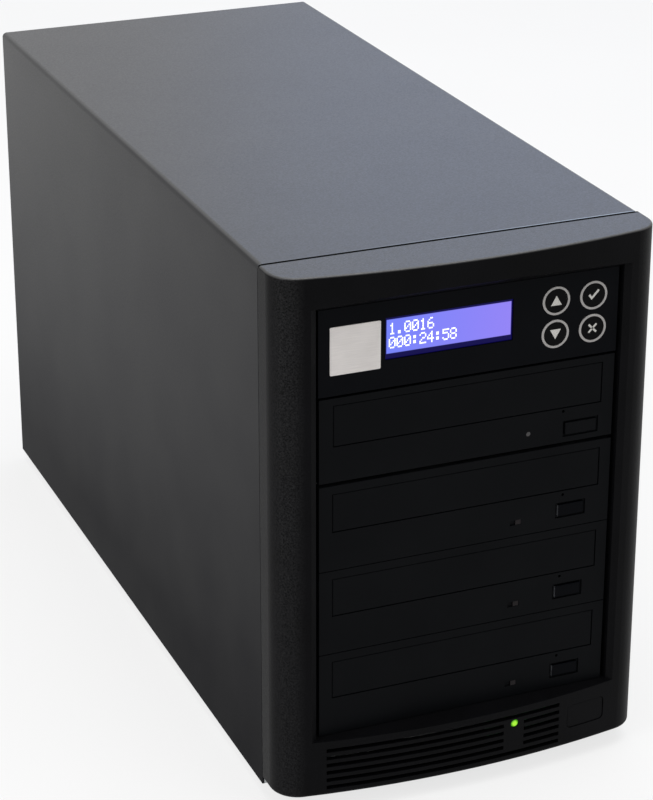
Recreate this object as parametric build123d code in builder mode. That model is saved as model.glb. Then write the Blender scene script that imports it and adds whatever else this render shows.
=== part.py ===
from build123d import *
from dataclasses import dataclass
from math import cos, radians, sin, sqrt
import os

# Disc duplicator tower: a sheet steel case with a moulded, bowed front bezel. Five bays in the
# bezel hold a control panel, one reading drive and three writing drives; a power supply and a
# case fan sit at the back. Millimetres. X runs to the right of someone facing the front, Y from
# the front to the back, Z up. The origin is on the floor, under the middle of the tower.

# ------------------------------------------------------------------ driving dimensions
# Case
CASE_W = 187.0  # over the sides of the cover
CASE_D = 409.0  # cover, from its front edge to its back edge
SHEET = 1.0  # sheet steel
FOLD_R = 2.5  # outside radius of the folds of the cover
FLANGE = 12.0  # width of a folded flange
FOOT_H = 6.0
FOOT_R = 9.0
FOOT_SIDES = 12
FOOT_INSET = 28.0  # from the case's sides and ends to the middle of a foot
FOOT_STEM_R = 2.2
FOOT_STEM_PROUD = 2.0  # above the floor pan

# Front bezel
BEZEL_DEPTH = 30.3  # from the cover's front edge to the foremost line of the bow
BOW_R = 488.0  # plan radius of the bowed front
CORNER_R = 14.0  # plan radius of the two upright corners
BEZEL_WALL = 2.6
BEZEL_LIFT = 2.7  # bottom of the bezel above the cover's bottom edge
TOP_ROUND = 1.2
BOTTOM_ROUND = 2.0
SEAM_GAP = 0.5  # dark line between bezel and cover
TUNNEL_WALL = 2.0  # walls round the bays
CLIP_T = 2.0
CLIP_W = 12.0
CLIP_HOOK = 1.0
CLIP_REACH = 7.0
CLIP_ROOT = 9.0  # the clips start this far in front of the seam

# Bays
BAY_PITCH = 42.4
BAY_RISE = 32.1  # lowest bay above the cover's bottom edge
BAYS = 5
HEAD_H = 16.9  # cover's top above the uppermost bay
CASE_H = BAY_RISE + BAYS * BAY_PITCH + HEAD_H  # cover, from its bottom edge to the top
BAY_SETBACK = 9.7  # drive fronts behind the foremost line of the bow
MOUTH_STEP = 1.6  # straight part of the opening's sides in front of the drive fronts
SIDE_BEVEL = 1.6  # from there the opening widens by this much per mm towards the front
TOP_BEVEL = 0.57
LEDGE_BEVEL = 0.12
BAY_LINE = 0.4  # visible line between two bay fronts

# Grille, lamp and power button, heights above the cover's bottom edge
SLOT_COUNT = 6
SLOT_PITCH = 3.9
SLOT_H = 2.0
SLOT_TOP = 26.6
SLOT_LEFT = -71.1
SLOT_RIGHT = 47.8
LAMP_PLATE_X = 22.9
LAMP_PLATE_W = 10.7
LAMP_X = 23.3
LAMP_RISE = 22.8
LAMP_R = 2.0
POWER_X = 62.8
POWER_RISE = 18.3
POWER_W = 20.2
POWER_H = 11.7
POWER_R = 2.0
POWER_TRAVEL = 1.2
POWER_SINK = 0.3  # button face behind the bezel's face

# Clearances
SLIDE_GAP = 0.3  # round keys, buttons and tray flaps
SHAFT_GAP = 0.05
SEAT_GAP = 0.1  # between pieces that are put together by hand

# Control panel, lifts above the middle of its bay
PANEL_LAP = 0.35  # the panel is wider than the drives by this much on each side
PANEL_LIFT = 0.8  # extra gap under the panel
PANEL_T = 2.4
PANEL_RIM = 6.4  # depth of the rim behind the face
RIM_WALL = 1.6
LCD_X = -10.4
LCD_LIFT = 2.9
LCD_W = 62.2
LCD_H = 19.9
LCD_GLASS_T = 1.6
LCD_RIM_X = 4.5  # the display's frame reaches this far past its glass
LCD_RIM_Z = 3.25
LCD_FRAME_T = 6.0
BADGE_X = -55.95
BADGE_LIFT = 1.0
BADGE_W = 24.1
BADGE_H = 22.7
BADGE_T = 0.9
BADGE_SEAT = 0.5
KEY_R = 5.5
KEY_RING_W = 1.05
KEY_RING_T = 0.3
RING_SIDES = 20
KEY_X = 51.35
KEY_LIFT = 0.8
KEY_PITCH_X = 18.8
KEY_PITCH_Z = 16.0
KEY_TRAVEL = 0.6
KEY_PROUD = 0.2
BOARD_T = 1.6
BRACKET_D = 125.0
CONTROLLER_W = 120.0
CONTROLLER_D = 104.0
STANDOFF_H = 5.0
STANDOFF_R = 2.9

# Drives
FRONT_T = 2.4
FRONT_RIM = 5.0
WELL_R = 60.8  # well for a full disc
WELL_DEPTH = 4.6
SMALL_WELL_R = 41.0
SMALL_WELL_DEPTH = 1.2
HUB_SLOT_W = 40.0
HUB_SLOT_REACH = 58.0
TRAY_RIM = 4.2  # beside the well
TRAY_FRONT_RIM = 6.2  # in front of the well
TRAY_TAIL = 28.2  # behind the well
TRAY_H = 8.6
TRAY_LIFT = 2.2  # tray's underside above the lower edge of its flap
TRAY_TRAVEL = 135.0
TRAY_CORNER_R = 6.0
FLAP_T = 3.2  # tray flap
GUIDE_GAP = 0.4  # tray to its guides
GUIDE_WALL = 2.5
GUIDE_LEDGE = 3.0
GUIDE_LEDGE_T = 2.0
GUIDE_RISE = 5.0  # guide walls above their ledges
GUIDE_ROOM = 4.15  # guide to the side of the drive's steel case
SHELL_BACK_ROOM = 9.8  # tray to the back of the steel case
SHELL_GAP = 1.2  # between the steel cases of two neighbouring drives
BAY_SIDE_GAP = 2.05  # drive to the sides of the bay opening
LOADER_SETBACK = 1.0
LOADER_BACK_ROOM = 13.0
LOADER_FLOOR = 2.0
LOADER_WINDOW_FRONT = 50.0  # the frame's window starts this far in front of the disc's middle
LOADER_WINDOW_RIM = 16.0
LOADER_WINDOW_TAIL = 10.0
MOTOR_BRIDGE_RIM = 10.0
RAIL_X = 22.0
RAIL_W = 3.0
RAIL_H = 3.0
SLED_FRONT = 26.0  # pick-up sled behind the disc's middle
SLED_D = 26.0
SLED_H = 6.0
MOTOR_R = 12.0
MOTOR_H = 11.5
SPINDLE_R = 1.5
SPINDLE_DEPTH = 8.0
TABLE_R = 14.0
TABLE_T = 1.6
HUB_R = 7.4
TURN_SIDES = 12  # sides of the motors and turntables, to keep the faces few
EJECT_PROUD = 0.6
EJECT_TRAVEL = 0.8
EJECT_POCKET = 0.8  # depth of the pocket round an eject button
PINHOLE_R = 0.7
WRITER_FLAP_LAP = 1.8  # flap past the tray on each side
WRITER_FLAP_H = 18.5
WRITER_FLAP_HEAD = 4.5  # flap below the top of the bay
WRITER_EJECT_X = 53.2
WRITER_EJECT_RISE = 9.4
WRITER_EJECT_W = 13.2
WRITER_EJECT_H = 5.6
READER_FLAP_LAP = 1.45
READER_FLAP_H = 19.5
READER_FLAP_HEAD = 3.9
READER_SHORT = 1.4  # the reader's front is this much lower than a writer's
READER_EJECT_X = 56.75
READER_EJECT_RISE = 8.3
READER_EJECT_W = 15.9
READER_EJECT_H = 5.8
WRITER_LENS_X = 26.4
WRITER_LENS_RISE = 7.2
WRITER_LENS_W = 2.8
WRITER_LENS_H = 2.4
READER_LENS_X = 30.2
READER_LENS_RISE = 8.7
READER_LENS_R = 1.1
WRITER_PINHOLE_X = 49.0
READER_PINHOLE_X = 47.7
PINHOLE_DROP = 2.2  # pinholes below the lower edge of a writer's flap
FLAP_X = 0.4  # the tray flaps sit a little right of the middle

# Cage and screws
CAGE_D = 150.0
CAGE_FLOOR_DROP = 3.0  # cage floor below the lowest bay
CAGE_SIDE_GAP = 6.35  # cage's front flanges to the folded flange of the steel front
SCREW_R = 1.5
SCREW_HEAD_R = 3.2
SCREW_HEAD_H = 2.0
SCREW_L = 5.0
DRIVE_SCREW_RISE = 10.0
DRIVE_SCREW_FRONT = 50.0  # first side screw behind the drive fronts
DRIVE_SCREW_PITCH = 79.2

# Power supply
PSU_W = 150.0
PSU_FAN_ROOM = 3.0  # over and under the fan
PSU_D = 140.0
PSU_HEADROOM = 3.0
PSU_SCREW_INSET = 6.0
FAN_SIZE = 80.0
FAN_D = 25.0
FAN_WALL = 2.0  # frame outside its bore
FAN_HUB_R = 15.0
FAN_HOLE_INSET = 4.25
FAN_BLADES = 7
FAN_TIP_GAP = 1.0
FAN_SHAFT_R = 1.5
PSU_FAN_X = 23.0
GUARD_WIRE = 1.6
GUARD_RINGS = 4
GUARD_SIDES = 16
VENTS = 11
VENT_LEFT = -60.0
VENT_PITCH = 9.0
VENT_W = 4.0
VENT_INSET = 17.2
INLET_X = -44.0
INLET_RISE = 58.0  # above the bottom of the power supply
INLET_W = 27.0
INLET_H = 19.6
INLET_D = 22.0
INLET_CAVITY_W = 24.4
INLET_CAVITY_H = 16.6
INLET_CAVITY_D = 16.5
INLET_FLANGE = 3.0
INLET_FLANGE_T = 1.6
PIN_SETBACK = 5.0
PIN_W = 2.0
PIN_H = 4.0
PIN_PLACES = [(-7, -2), (7, -2), (0, 2)]  # from the middle of the inlet
ROCKER_RISE = 24.0
ROCKER_W = 12.0
ROCKER_H = 18.0
ROCKER_SINK = 3.0  # pivot behind the power supply's back
ROCKER_TILT = 9.0  # the rocker leans this far from the middle, either way
CASE_FAN_RISE = 96.0  # middle of the case fan above the cover's bottom edge

# Leads
LEAD_R = 2.2
LEAD_SIDES = 6
TRUNK_R = 3.6
LEAD_BEND_R = 11.0
LEAD_LANE = 8.0
SOCKET_H = 6.0
SOCKET_D = 4.0
DATA_X = 26.0
POWER_PLUG_X = 54.0
DATA_PLUG_W = 14.0
POWER_PLUG_W = 22.0
PLUG_D = 12.0
TRUNK_SETBACK = 13.0

# ------------------------------------------------------------------ sizes worked out
TRAY_W = 2 * (WELL_R + TRAY_RIM)
WELL_SETBACK = WELL_R + TRAY_FRONT_RIM  # middle of the disc behind the flap
TRAY_D = WELL_SETBACK + WELL_R + TRAY_TAIL
SHELL_W = TRAY_W + 2 * (GUIDE_GAP + GUIDE_WALL + GUIDE_ROOM + SHEET)
SHELL_H = BAY_PITCH - SHELL_GAP
SHELL_D = FLAP_T + TRAY_D + SHELL_BACK_ROOM + SHEET - FRONT_RIM
LOADER_D = SHELL_D - SHEET - LOADER_SETBACK - LOADER_BACK_ROOM
BAY_W = SHELL_W + 2 * BAY_SIDE_GAP
PANEL_W = SHELL_W + 2 * PANEL_LAP
WRITER_FLAP_W = TRAY_W + 2 * WRITER_FLAP_LAP
WRITER_FLAP_RISE = BAY_PITCH - WRITER_FLAP_HEAD - WRITER_FLAP_H
WRITER_FRONT_H = BAY_PITCH - BAY_LINE
READER_FLAP_W = TRAY_W + 2 * READER_FLAP_LAP
READER_FLAP_RISE = BAY_PITCH - READER_FLAP_HEAD - READER_FLAP_H
READER_FRONT_H = WRITER_FRONT_H - READER_SHORT
TRAY_RISE = WRITER_FLAP_RISE + TRAY_LIFT  # tray's underside above the bottom of the bay
PINHOLE_RISE = WRITER_FLAP_RISE - PINHOLE_DROP
KEY_RING_R = KEY_R + SLIDE_GAP + KEY_RING_W
LCD_FRAME_W = LCD_W + 2 * LCD_RIM_X
LCD_FRAME_H = LCD_H + 2 * LCD_RIM_Z
FAN_BORE_R = FAN_SIZE / 2 - FAN_WALL
FAN_HOLE_PITCH = FAN_SIZE - 2 * FAN_HOLE_INSET
PSU_H = FAN_SIZE + 2 * PSU_FAN_ROOM

# ------------------------------------------------------------------ places worked out
DEPTH = BEZEL_DEPTH + CASE_D + SCREW_HEAD_H
Y_FRONT = -DEPTH / 2
Y_SEAM = Y_FRONT + BEZEL_DEPTH
Y_BACK = Y_SEAM + CASE_D
Y_BEZEL_BACK = Y_SEAM - SEAM_GAP
Y_BAY = Y_FRONT + BAY_SETBACK
Y_PANEL = Y_BACK - SHEET  # outer face of the rear panel
Y_PSU = Y_PANEL - SHEET  # back of the power supply and of the case fan
Z_CASE = FOOT_H
Z_TOP = Z_CASE + CASE_H
Z_BAYS = Z_CASE + BAY_RISE
Z_BEZEL = Z_CASE + BEZEL_LIFT
BEZEL_H = CASE_H - BEZEL_LIFT
INNER_W = CASE_W - 2 * SHEET
BAYS_H = BAYS * BAY_PITCH
Y_SHELL = Y_BAY + FRONT_RIM
Y_SHELL_BACK = Y_SHELL + SHELL_D
Y_WELL = Y_BAY + FLAP_T + WELL_SETBACK
Z_PSU = Z_TOP - SHEET - PSU_HEADROOM - PSU_H
Z_PSU_FAN = Z_PSU + PSU_H / 2
Z_CASE_FAN = Z_CASE + CASE_FAN_RISE
SCREW_HOLE_R = SCREW_R + SEAT_GAP


def bay_floor(bay):
    """Height of the bottom of a bay; bay 0 is the lowest."""
    return Z_BAYS + bay * BAY_PITCH


# ------------------------------------------------------------------ helpers
def front_plane(y):
    """Upright plane at depth y: sketch X is X, sketch Y is Z, and it faces the front."""
    return Plane(origin=(0, y, 0), x_dir=(1, 0, 0), z_dir=(0, -1, 0))


def block(x_span, y_span, z_span, mode=Mode.ADD):
    """Box between two opposite corners, given as spans along X, Y and Z."""
    spans = (x_span, y_span, z_span)
    middle = tuple((low + high) / 2 for low, high in spans)
    with Locations(middle):
        Box(*(high - low for low, high in spans), mode=mode)


def front_prism(y_front, y_back, shapes, mode=Mode.ADD):
    """Upright shapes carried from y_back forward to y_front. Each shape is drawn by a function
    at its own (x, z) place."""
    with BuildSketch(front_plane(y_back)) as profile:
        for place, draw in shapes:
            with Locations(place):
                draw()
    extrude(profile.sketch, amount=y_back - y_front, mode=mode)


def screw_hole():
    """Hole for a screw; six-sided, as its shank is, to keep the faces few."""
    RegularPolygon(SCREW_HOLE_R, 6)


def save(piece, name):
    """Name a finished piece and write it to its own file."""
    piece.part.label = name
    export_step(piece.part, f"parts/{name}.step")


os.makedirs("parts", exist_ok=True)

# ------------------------------------------------------------------ sheet metal
FOOT_X = CASE_W / 2 - FOOT_INSET
FOOT_PLACES = [
    (x, y)
    for x in (-FOOT_X, FOOT_X)
    for y in (Y_SEAM + FOOT_INSET, Y_BACK - FOOT_INSET)
]


def cover_section(inset, y_back):
    """Section across the cover, an upside-down U with rounded folds, moved inwards by inset."""
    height = CASE_H - inset
    with BuildSketch(front_plane(y_back)) as section:
        with Locations((0, Z_CASE + height / 2)):
            Rectangle(CASE_W - 2 * inset, height)
        fillet(section.vertices().group_by(Axis.Y)[-1], radius=FOLD_R - inset)
    return section.sketch


with BuildPart() as chassis_base:
    pan_y = (Y_SEAM + SHEET, Y_PSU)
    block((-INNER_W / 2, INNER_W / 2), pan_y, (Z_CASE, Z_CASE + FLANGE))
    hollow_x = INNER_W / 2 - SHEET
    block((-hollow_x, hollow_x), pan_y, (Z_CASE + SHEET, Z_CASE + FLANGE), Mode.SUBTRACT)
    with BuildSketch(Plane.XY.offset(Z_CASE)):
        with Locations(*FOOT_PLACES):
            RegularPolygon(FOOT_STEM_R + SEAT_GAP, 6)
    extrude(amount=SHEET, mode=Mode.SUBTRACT)
save(chassis_base, "chassis_base")

with BuildPart() as feet:
    with BuildSketch(Plane.XY):
        with Locations(*FOOT_PLACES):
            RegularPolygon(FOOT_R, FOOT_SIDES)
    extrude(amount=FOOT_H, taper=6)
    with BuildSketch(Plane.XY.offset(FOOT_H)):
        with Locations(*FOOT_PLACES):
            RegularPolygon(FOOT_STEM_R, 6)
    extrude(amount=SHEET + FOOT_STEM_PROUD)
save(feet, "feet")

CLIP_X = CASE_W / 2 - BEZEL_WALL - CLIP_T / 2 - 0.5
CLIP_Z = [Z_CASE + 0.2 * CASE_H, Z_CASE + 0.8 * CASE_H]
CLIP_PLACES = [(side * CLIP_X, z) for side in (-1, 1) for z in CLIP_Z]
CLIP_HOLE_W = CLIP_T + CLIP_HOOK + 1.0
INTAKE_X = (SLOT_LEFT, LAMP_PLATE_X - LAMP_PLATE_W)
INTAKE_Z = (Z_CASE + SHEET + 7, Z_BAYS - CAGE_FLOOR_DROP - 2)

with BuildPart() as front_frame:
    # a plate with a flange folded back inside the cover; the floor pan's flanges need the rest
    extrude(cover_section(SHEET, Y_SEAM + FLANGE), amount=FLANGE)
    folded = FLANGE - SHEET
    extrude(cover_section(2 * SHEET, Y_SEAM + FLANGE), amount=folded, mode=Mode.SUBTRACT)
    pan_room = (Y_SEAM + SHEET, Y_SEAM + FLANGE)
    block((-INNER_W / 2, INNER_W / 2), pan_room, (Z_CASE, Z_CASE + FLANGE), Mode.SUBTRACT)
    hole_x = BAY_W / 2
    hole_z = (Z_BAYS, Z_BAYS + BAYS_H)
    block((-hole_x, hole_x), (Y_SEAM, Y_SEAM + SHEET), hole_z, Mode.SUBTRACT)
    block(INTAKE_X, (Y_SEAM, Y_SEAM + SHEET), INTAKE_Z, Mode.SUBTRACT)
    clip_holes = [((x, z), lambda: Rectangle(CLIP_HOLE_W, CLIP_W + 1)) for x, z in CLIP_PLACES]
    front_prism(Y_SEAM, Y_SEAM + SHEET, clip_holes, Mode.SUBTRACT)
save(front_frame, "front_frame")

PSU_SCREWS = [
    (sx * (PSU_W / 2 - PSU_SCREW_INSET), Z_PSU_FAN + sz * (PSU_H / 2 - PSU_SCREW_INSET))
    for sx in (-1, 1)
    for sz in (-1, 1)
]
FAN_SCREWS = [
    (sx * FAN_HOLE_PITCH / 2, Z_CASE_FAN + sz * FAN_HOLE_PITCH / 2)
    for sx in (-1, 1)
    for sz in (-1, 1)
]
COVER_SCREW_X = INNER_W / 2 - FLANGE / 2
COVER_SCREWS = [
    (side * COVER_SCREW_X, z)
    for side in (-1, 1)
    for z in (Z_CASE + 0.15 * CASE_H, Z_CASE + 0.5 * CASE_H)
]
PSU_RIM = 3.5  # rim of the rear panel over the power supply's back
GRILLE_RIM = 1.5
GRILLE_PITCH = 6.5
GRILLE_SLOT = 3.0
GRILLE_BRIDGE = 5.0
PSU_TAB = 2 * PSU_SCREW_INSET  # corner tabs with the screw holes


def stamped_grille():
    """Rows of level slots within the fan's bore, with an upright bridge in the middle."""
    rows = int((FAN_BORE_R - GRILLE_RIM - GRILLE_SLOT) / GRILLE_PITCH)
    for row in range(-rows, rows + 1):
        rise = row * GRILLE_PITCH
        reach = sqrt((FAN_BORE_R - GRILLE_RIM) ** 2 - (abs(rise) + GRILLE_SLOT / 2) ** 2)
        with Locations((0, rise)):
            Rectangle(2 * reach, GRILLE_SLOT)
    Rectangle(GRILLE_BRIDGE, 2 * FAN_BORE_R, mode=Mode.SUBTRACT)


def psu_window():
    """Opening for the back of the power supply, with a tab left in each corner."""
    Rectangle(PSU_W - 2 * PSU_RIM, PSU_H - 2 * PSU_RIM)
    with GridLocations(PSU_W - PSU_TAB, PSU_H - PSU_TAB, 2, 2):
        Rectangle(PSU_TAB, PSU_TAB, mode=Mode.SUBTRACT)


with BuildPart() as rear_panel:
    extrude(cover_section(SHEET, Y_PANEL), amount=SHEET)
    cuts = [((0, Z_PSU_FAN), psu_window), ((0, Z_CASE_FAN), stamped_grille)]
    cuts += [(place, screw_hole) for place in PSU_SCREWS + FAN_SCREWS + COVER_SCREWS]
    front_prism(Y_PSU, Y_PANEL, cuts, Mode.SUBTRACT)
save(rear_panel, "rear_panel")

with BuildPart() as cover_shell:
    extrude(cover_section(0, Y_BACK), amount=CASE_D)
    extrude(cover_section(SHEET, Y_BACK), amount=CASE_D, mode=Mode.SUBTRACT)
    lip_y = (Y_PANEL, Y_BACK)
    inner_top = Z_TOP - SHEET
    for side in (-1, 1):
        lip_x = sorted((side * (INNER_W / 2 + SHEET / 2), side * (INNER_W / 2 - FLANGE)))
        block(lip_x, lip_y, (Z_CASE, inner_top))
    front_prism(Y_PANEL, Y_BACK, [(place, screw_hole) for place in COVER_SCREWS], Mode.SUBTRACT)
save(cover_shell, "cover_shell")

CAGE_X = SHELL_W / 2 + SEAT_GAP
CAGE_Y = (Y_SEAM + SHEET, Y_SEAM + SHEET + CAGE_D)
CAGE_FLOOR = Z_BAYS - CAGE_FLOOR_DROP
CAGE_TOP = Z_BAYS + BAYS_H - 1
DRIVE_SCREW_PLACES = [
    (Y_BAY + DRIVE_SCREW_FRONT + step * DRIVE_SCREW_PITCH, bay_floor(bay) + DRIVE_SCREW_RISE)
    for bay in range(BAYS)
    for step in range(2)
]

with BuildPart() as drive_cage:
    block((-CAGE_X - SHEET, CAGE_X + SHEET), CAGE_Y, (CAGE_FLOOR, CAGE_TOP))
    block((-CAGE_X, CAGE_X), CAGE_Y, (CAGE_FLOOR + SHEET, CAGE_TOP), Mode.SUBTRACT)
    for side in (-1, 1):
        flange_x = sorted((side * CAGE_X, side * (INNER_W / 2 - SHEET - CAGE_SIDE_GAP)))
        block(flange_x, (CAGE_Y[0], CAGE_Y[0] + SHEET), (CAGE_FLOOR, CAGE_TOP))
    with BuildSketch(Plane.YZ.offset(-CAGE_X - SHEET)):
        with Locations(*DRIVE_SCREW_PLACES):
            screw_hole()
    extrude(amount=2 * (CAGE_X + SHEET), mode=Mode.SUBTRACT)
save(drive_cage, "drive_cage")


# ------------------------------------------------------------------ front bezel
def bezel_plan(level, inset):
    """Plan of the bezel at a height: straight flanks, round corners and the bowed front, all
    moved inwards by inset."""
    half = CASE_W / 2 - inset
    radius = BOW_R - inset
    bow_y = Y_FRONT + BOW_R - sqrt(radius**2 - half**2)
    with BuildSketch(Plane.XY.offset(level)) as plan:
        with BuildLine():
            ThreePointArc((-half, bow_y), (0, Y_FRONT + inset), (half, bow_y))
            Polyline((half, bow_y), (half, Y_BEZEL_BACK), (-half, Y_BEZEL_BACK), (-half, bow_y))
        make_face()
        fillet(plan.vertices().group_by(Axis.Y)[0], radius=CORNER_R - inset)
    return plan.sketch


def bow_depth(x):
    """Depth of the bezel's outer face at x, between the corners."""
    return Y_FRONT + BOW_R - sqrt(BOW_R**2 - x**2)


TUNNEL_X = BAY_W / 2 + TUNNEL_WALL
TUNNEL_Z = (Z_BAYS - TUNNEL_WALL, Z_BAYS + BAYS_H + TUNNEL_WALL)
SLOT_Z = [Z_CASE + SLOT_TOP - step * SLOT_PITCH for step in range(SLOT_COUNT)]
Z_POWER = Z_CASE + POWER_RISE
Z_LAMP = Z_CASE + LAMP_RISE
BUTTON_FLANGE = 1.5  # the power button's flange reaches this far behind the wall
POST_R = 2.2
POST_X = POWER_X + POWER_W / 2 + BUTTON_FLANGE + POST_R + SLIDE_GAP
POST_PLACES = [(LAMP_PLATE_X, Z_LAMP - 7), (POST_X, Z_POWER)]
SWITCH_BOARD_X = (LAMP_PLATE_X - 6, POST_X + POST_R + 1)
SWITCH_BOARD_Z = (Z_BEZEL + BEZEL_WALL + 2, Z_BAYS - TUNNEL_WALL - 3)
Y_SWITCH_BOARD = Y_FRONT + 17


def bay_mouth(margin):
    """Mouth of the bay opening, widened by margin: a short straight step in front of the drive
    fronts, then bevels out to the bowed face."""
    reach = BAY_SETBACK + 2 - MOUTH_STEP
    with BuildPart() as mouth:
        sections = []
        for run, spread in ((0, 0), (MOUTH_STEP, 0), (MOUTH_STEP + reach, reach)):
            low = Z_BAYS - run * LEDGE_BEVEL - margin
            high = Z_BAYS + BAYS_H + run * TOP_BEVEL + margin
            with BuildSketch(front_plane(Y_BAY - run)) as section:
                with Locations((0, (low + high) / 2)):
                    Rectangle(BAY_W + 2 * (spread * SIDE_BEVEL + margin), high - low)
            sections.append(section.sketch)
        loft(sections, ruled=True)
    return mouth.part


with BuildPart() as bezel_hollow:
    extrude(bezel_plan(Z_BEZEL + BEZEL_WALL, BEZEL_WALL), amount=BEZEL_H - 2 * BEZEL_WALL)
    block((-TUNNEL_X, TUNNEL_X), (Y_FRONT, Y_SEAM), TUNNEL_Z, Mode.SUBTRACT)
    add(bay_mouth(TUNNEL_WALL), mode=Mode.SUBTRACT)

with BuildPart() as front_bezel:
    extrude(bezel_plan(Z_BEZEL, 0), amount=BEZEL_H)
    rims = front_bezel.edges().filter_by(Axis.Z, reverse=True)
    rims = rims.filter_by_position(Axis.Y, Y_FRONT - 1, Y_BEZEL_BACK - 1)
    fillet(rims.group_by(Axis.Z)[-1], radius=TOP_ROUND)
    rims = front_bezel.edges().filter_by(Axis.Z, reverse=True)
    rims = rims.filter_by_position(Axis.Y, Y_FRONT - 1, Y_BEZEL_BACK - 1)
    fillet(rims.group_by(Axis.Z)[0], radius=BOTTOM_ROUND)
    add(bezel_hollow.part, mode=Mode.SUBTRACT)
    # the bay opening, straight behind the drive fronts and bevelled in front of them
    tunnel = (Z_BAYS, Z_BAYS + BAYS_H)
    block((-BAY_W / 2, BAY_W / 2), (Y_BAY, Y_SEAM), tunnel, Mode.SUBTRACT)
    add(bay_mouth(0), mode=Mode.SUBTRACT)
    # the tunnel walls reach back to the steel front
    wall_y = (Y_BEZEL_BACK, Y_SEAM)
    block((-TUNNEL_X, TUNNEL_X), wall_y, TUNNEL_Z)
    block((-BAY_W / 2, BAY_W / 2), wall_y, tunnel, Mode.SUBTRACT)
    # the grille; the lamp plate breaks all slots but the first and the last
    cut_y = (Y_FRONT - 1, Y_FRONT + 12)
    plate_x = (LAMP_PLATE_X - LAMP_PLATE_W / 2, LAMP_PLATE_X + LAMP_PLATE_W / 2)
    for row, z in enumerate(SLOT_Z):
        slot_z = (z - SLOT_H / 2, z + SLOT_H / 2)
        if row in (0, SLOT_COUNT - 1):
            block((SLOT_LEFT, SLOT_RIGHT), cut_y, slot_z, Mode.SUBTRACT)
        else:
            block((SLOT_LEFT, plate_x[0]), cut_y, slot_z, Mode.SUBTRACT)
            block((plate_x[1], SLOT_RIGHT), cut_y, slot_z, Mode.SUBTRACT)
    holes = [((LAMP_X, Z_LAMP), lambda: Circle(LAMP_R + SEAT_GAP))]
    hole_w = POWER_W + 2 * SLIDE_GAP
    hole_h = POWER_H + 2 * SLIDE_GAP
    holes += [((POWER_X, Z_POWER), lambda: RectangleRounded(hole_w, hole_h, POWER_R + SLIDE_GAP))]
    front_prism(*cut_y, holes, Mode.SUBTRACT)
    # posts for the switch board, rooted in the front wall
    for x, z in POST_PLACES:
        root = bow_depth(x) + BEZEL_WALL / 2
        front_prism(root, Y_SWITCH_BOARD, [((x, z), lambda: Circle(POST_R))])
    # clips through the steel front
    for x, z in CLIP_PLACES:
        side = 1 if x > 0 else -1
        tab_z = (z - CLIP_W / 2, z + CLIP_W / 2)
        root_x = sorted((x - side * CLIP_T / 2, side * (CASE_W / 2 - BEZEL_WALL / 2)))
        block(root_x, (Y_SEAM - CLIP_ROOT, Y_SEAM - CLIP_ROOT + 3 * CLIP_T), tab_z)
        tab_end = Y_SEAM + SHEET + CLIP_REACH
        block((x - CLIP_T / 2, x + CLIP_T / 2), (Y_SEAM - CLIP_ROOT, tab_end), tab_z)
        hook_x = sorted((x, x - side * (CLIP_T / 2 + CLIP_HOOK)))
        block(hook_x, (Y_SEAM + SHEET + SLIDE_GAP, Y_SEAM + SHEET + CLIP_REACH / 2), tab_z)
save(front_bezel, "front_bezel")

Y_BUTTON_BACK = Y_FRONT + 12.0

with BuildPart() as button_flange:
    flange_x = (POWER_X - POWER_W / 2 - BUTTON_FLANGE, POWER_X + POWER_W / 2 + BUTTON_FLANGE)
    flange_z = (Z_POWER - POWER_H / 2 - BUTTON_FLANGE, Z_POWER + POWER_H / 2 + BUTTON_FLANGE)
    block(flange_x, (Y_FRONT, Y_BUTTON_BACK), flange_z)
    behind_wall = bezel_plan(Z_BEZEL, BEZEL_WALL + SEAT_GAP)
    extrude(behind_wall, amount=BEZEL_H, mode=Mode.INTERSECT)

with BuildPart() as power_button:
    cap = [((POWER_X, Z_POWER), lambda: RectangleRounded(POWER_W, POWER_H, POWER_R))]
    front_prism(Y_FRONT, Y_BUTTON_BACK, cap)
    extrude(bezel_plan(Z_BEZEL, POWER_SINK), amount=BEZEL_H, mode=Mode.INTERSECT)
    add(button_flange.part)
save(power_button, "power_button")

with BuildPart() as switch_board:
    board_y = (Y_SWITCH_BOARD, Y_SWITCH_BOARD + BOARD_T)
    block(SWITCH_BOARD_X, board_y, SWITCH_BOARD_Z)
    switch_y = Y_BUTTON_BACK + POWER_TRAVEL + SLIDE_GAP
    block((POWER_X - 5, POWER_X + 5), (switch_y, board_y[0]), (Z_POWER - 4, Z_POWER + 4))
save(switch_board, "switch_board")

with BuildPart() as power_lens:
    lens_tip = bow_depth(LAMP_X)
    lens_shapes = [((LAMP_X, Z_LAMP), lambda: Circle(LAMP_R))]
    front_prism(lens_tip, Y_SWITCH_BOARD, lens_shapes)
    chamfer(power_lens.faces().sort_by(Axis.Y)[0].edges(), length=LAMP_R / 3)
save(power_lens, "power_lens")

# ------------------------------------------------------------------ control unit, top bay
Z_UNIT = bay_floor(BAYS - 1)
Z_UNIT_MIDDLE = Z_UNIT + BAY_PITCH / 2
Z_LCD = Z_UNIT_MIDDLE + LCD_LIFT
Z_BADGE = Z_UNIT_MIDDLE + BADGE_LIFT
Z_PANEL = Z_UNIT + BAY_LINE / 2 + PANEL_LIFT
PANEL_H = BAY_PITCH - BAY_LINE - PANEL_LIFT
Z_KEYS = Z_UNIT_MIDDLE + KEY_LIFT
KEY_PLACES = {
    "key_up": (KEY_X - KEY_PITCH_X / 2, Z_KEYS + KEY_PITCH_Z / 2),
    "key_ok": (KEY_X + KEY_PITCH_X / 2, Z_KEYS + KEY_PITCH_Z / 2),
    "key_down": (KEY_X - KEY_PITCH_X / 2, Z_KEYS - KEY_PITCH_Z / 2),
    "key_esc": (KEY_X + KEY_PITCH_X / 2, Z_KEYS - KEY_PITCH_Z / 2),
}
Y_LCD_FRAME = Y_BAY + PANEL_T
Y_KEY_BOARD = Y_LCD_FRAME + LCD_FRAME_T


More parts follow.
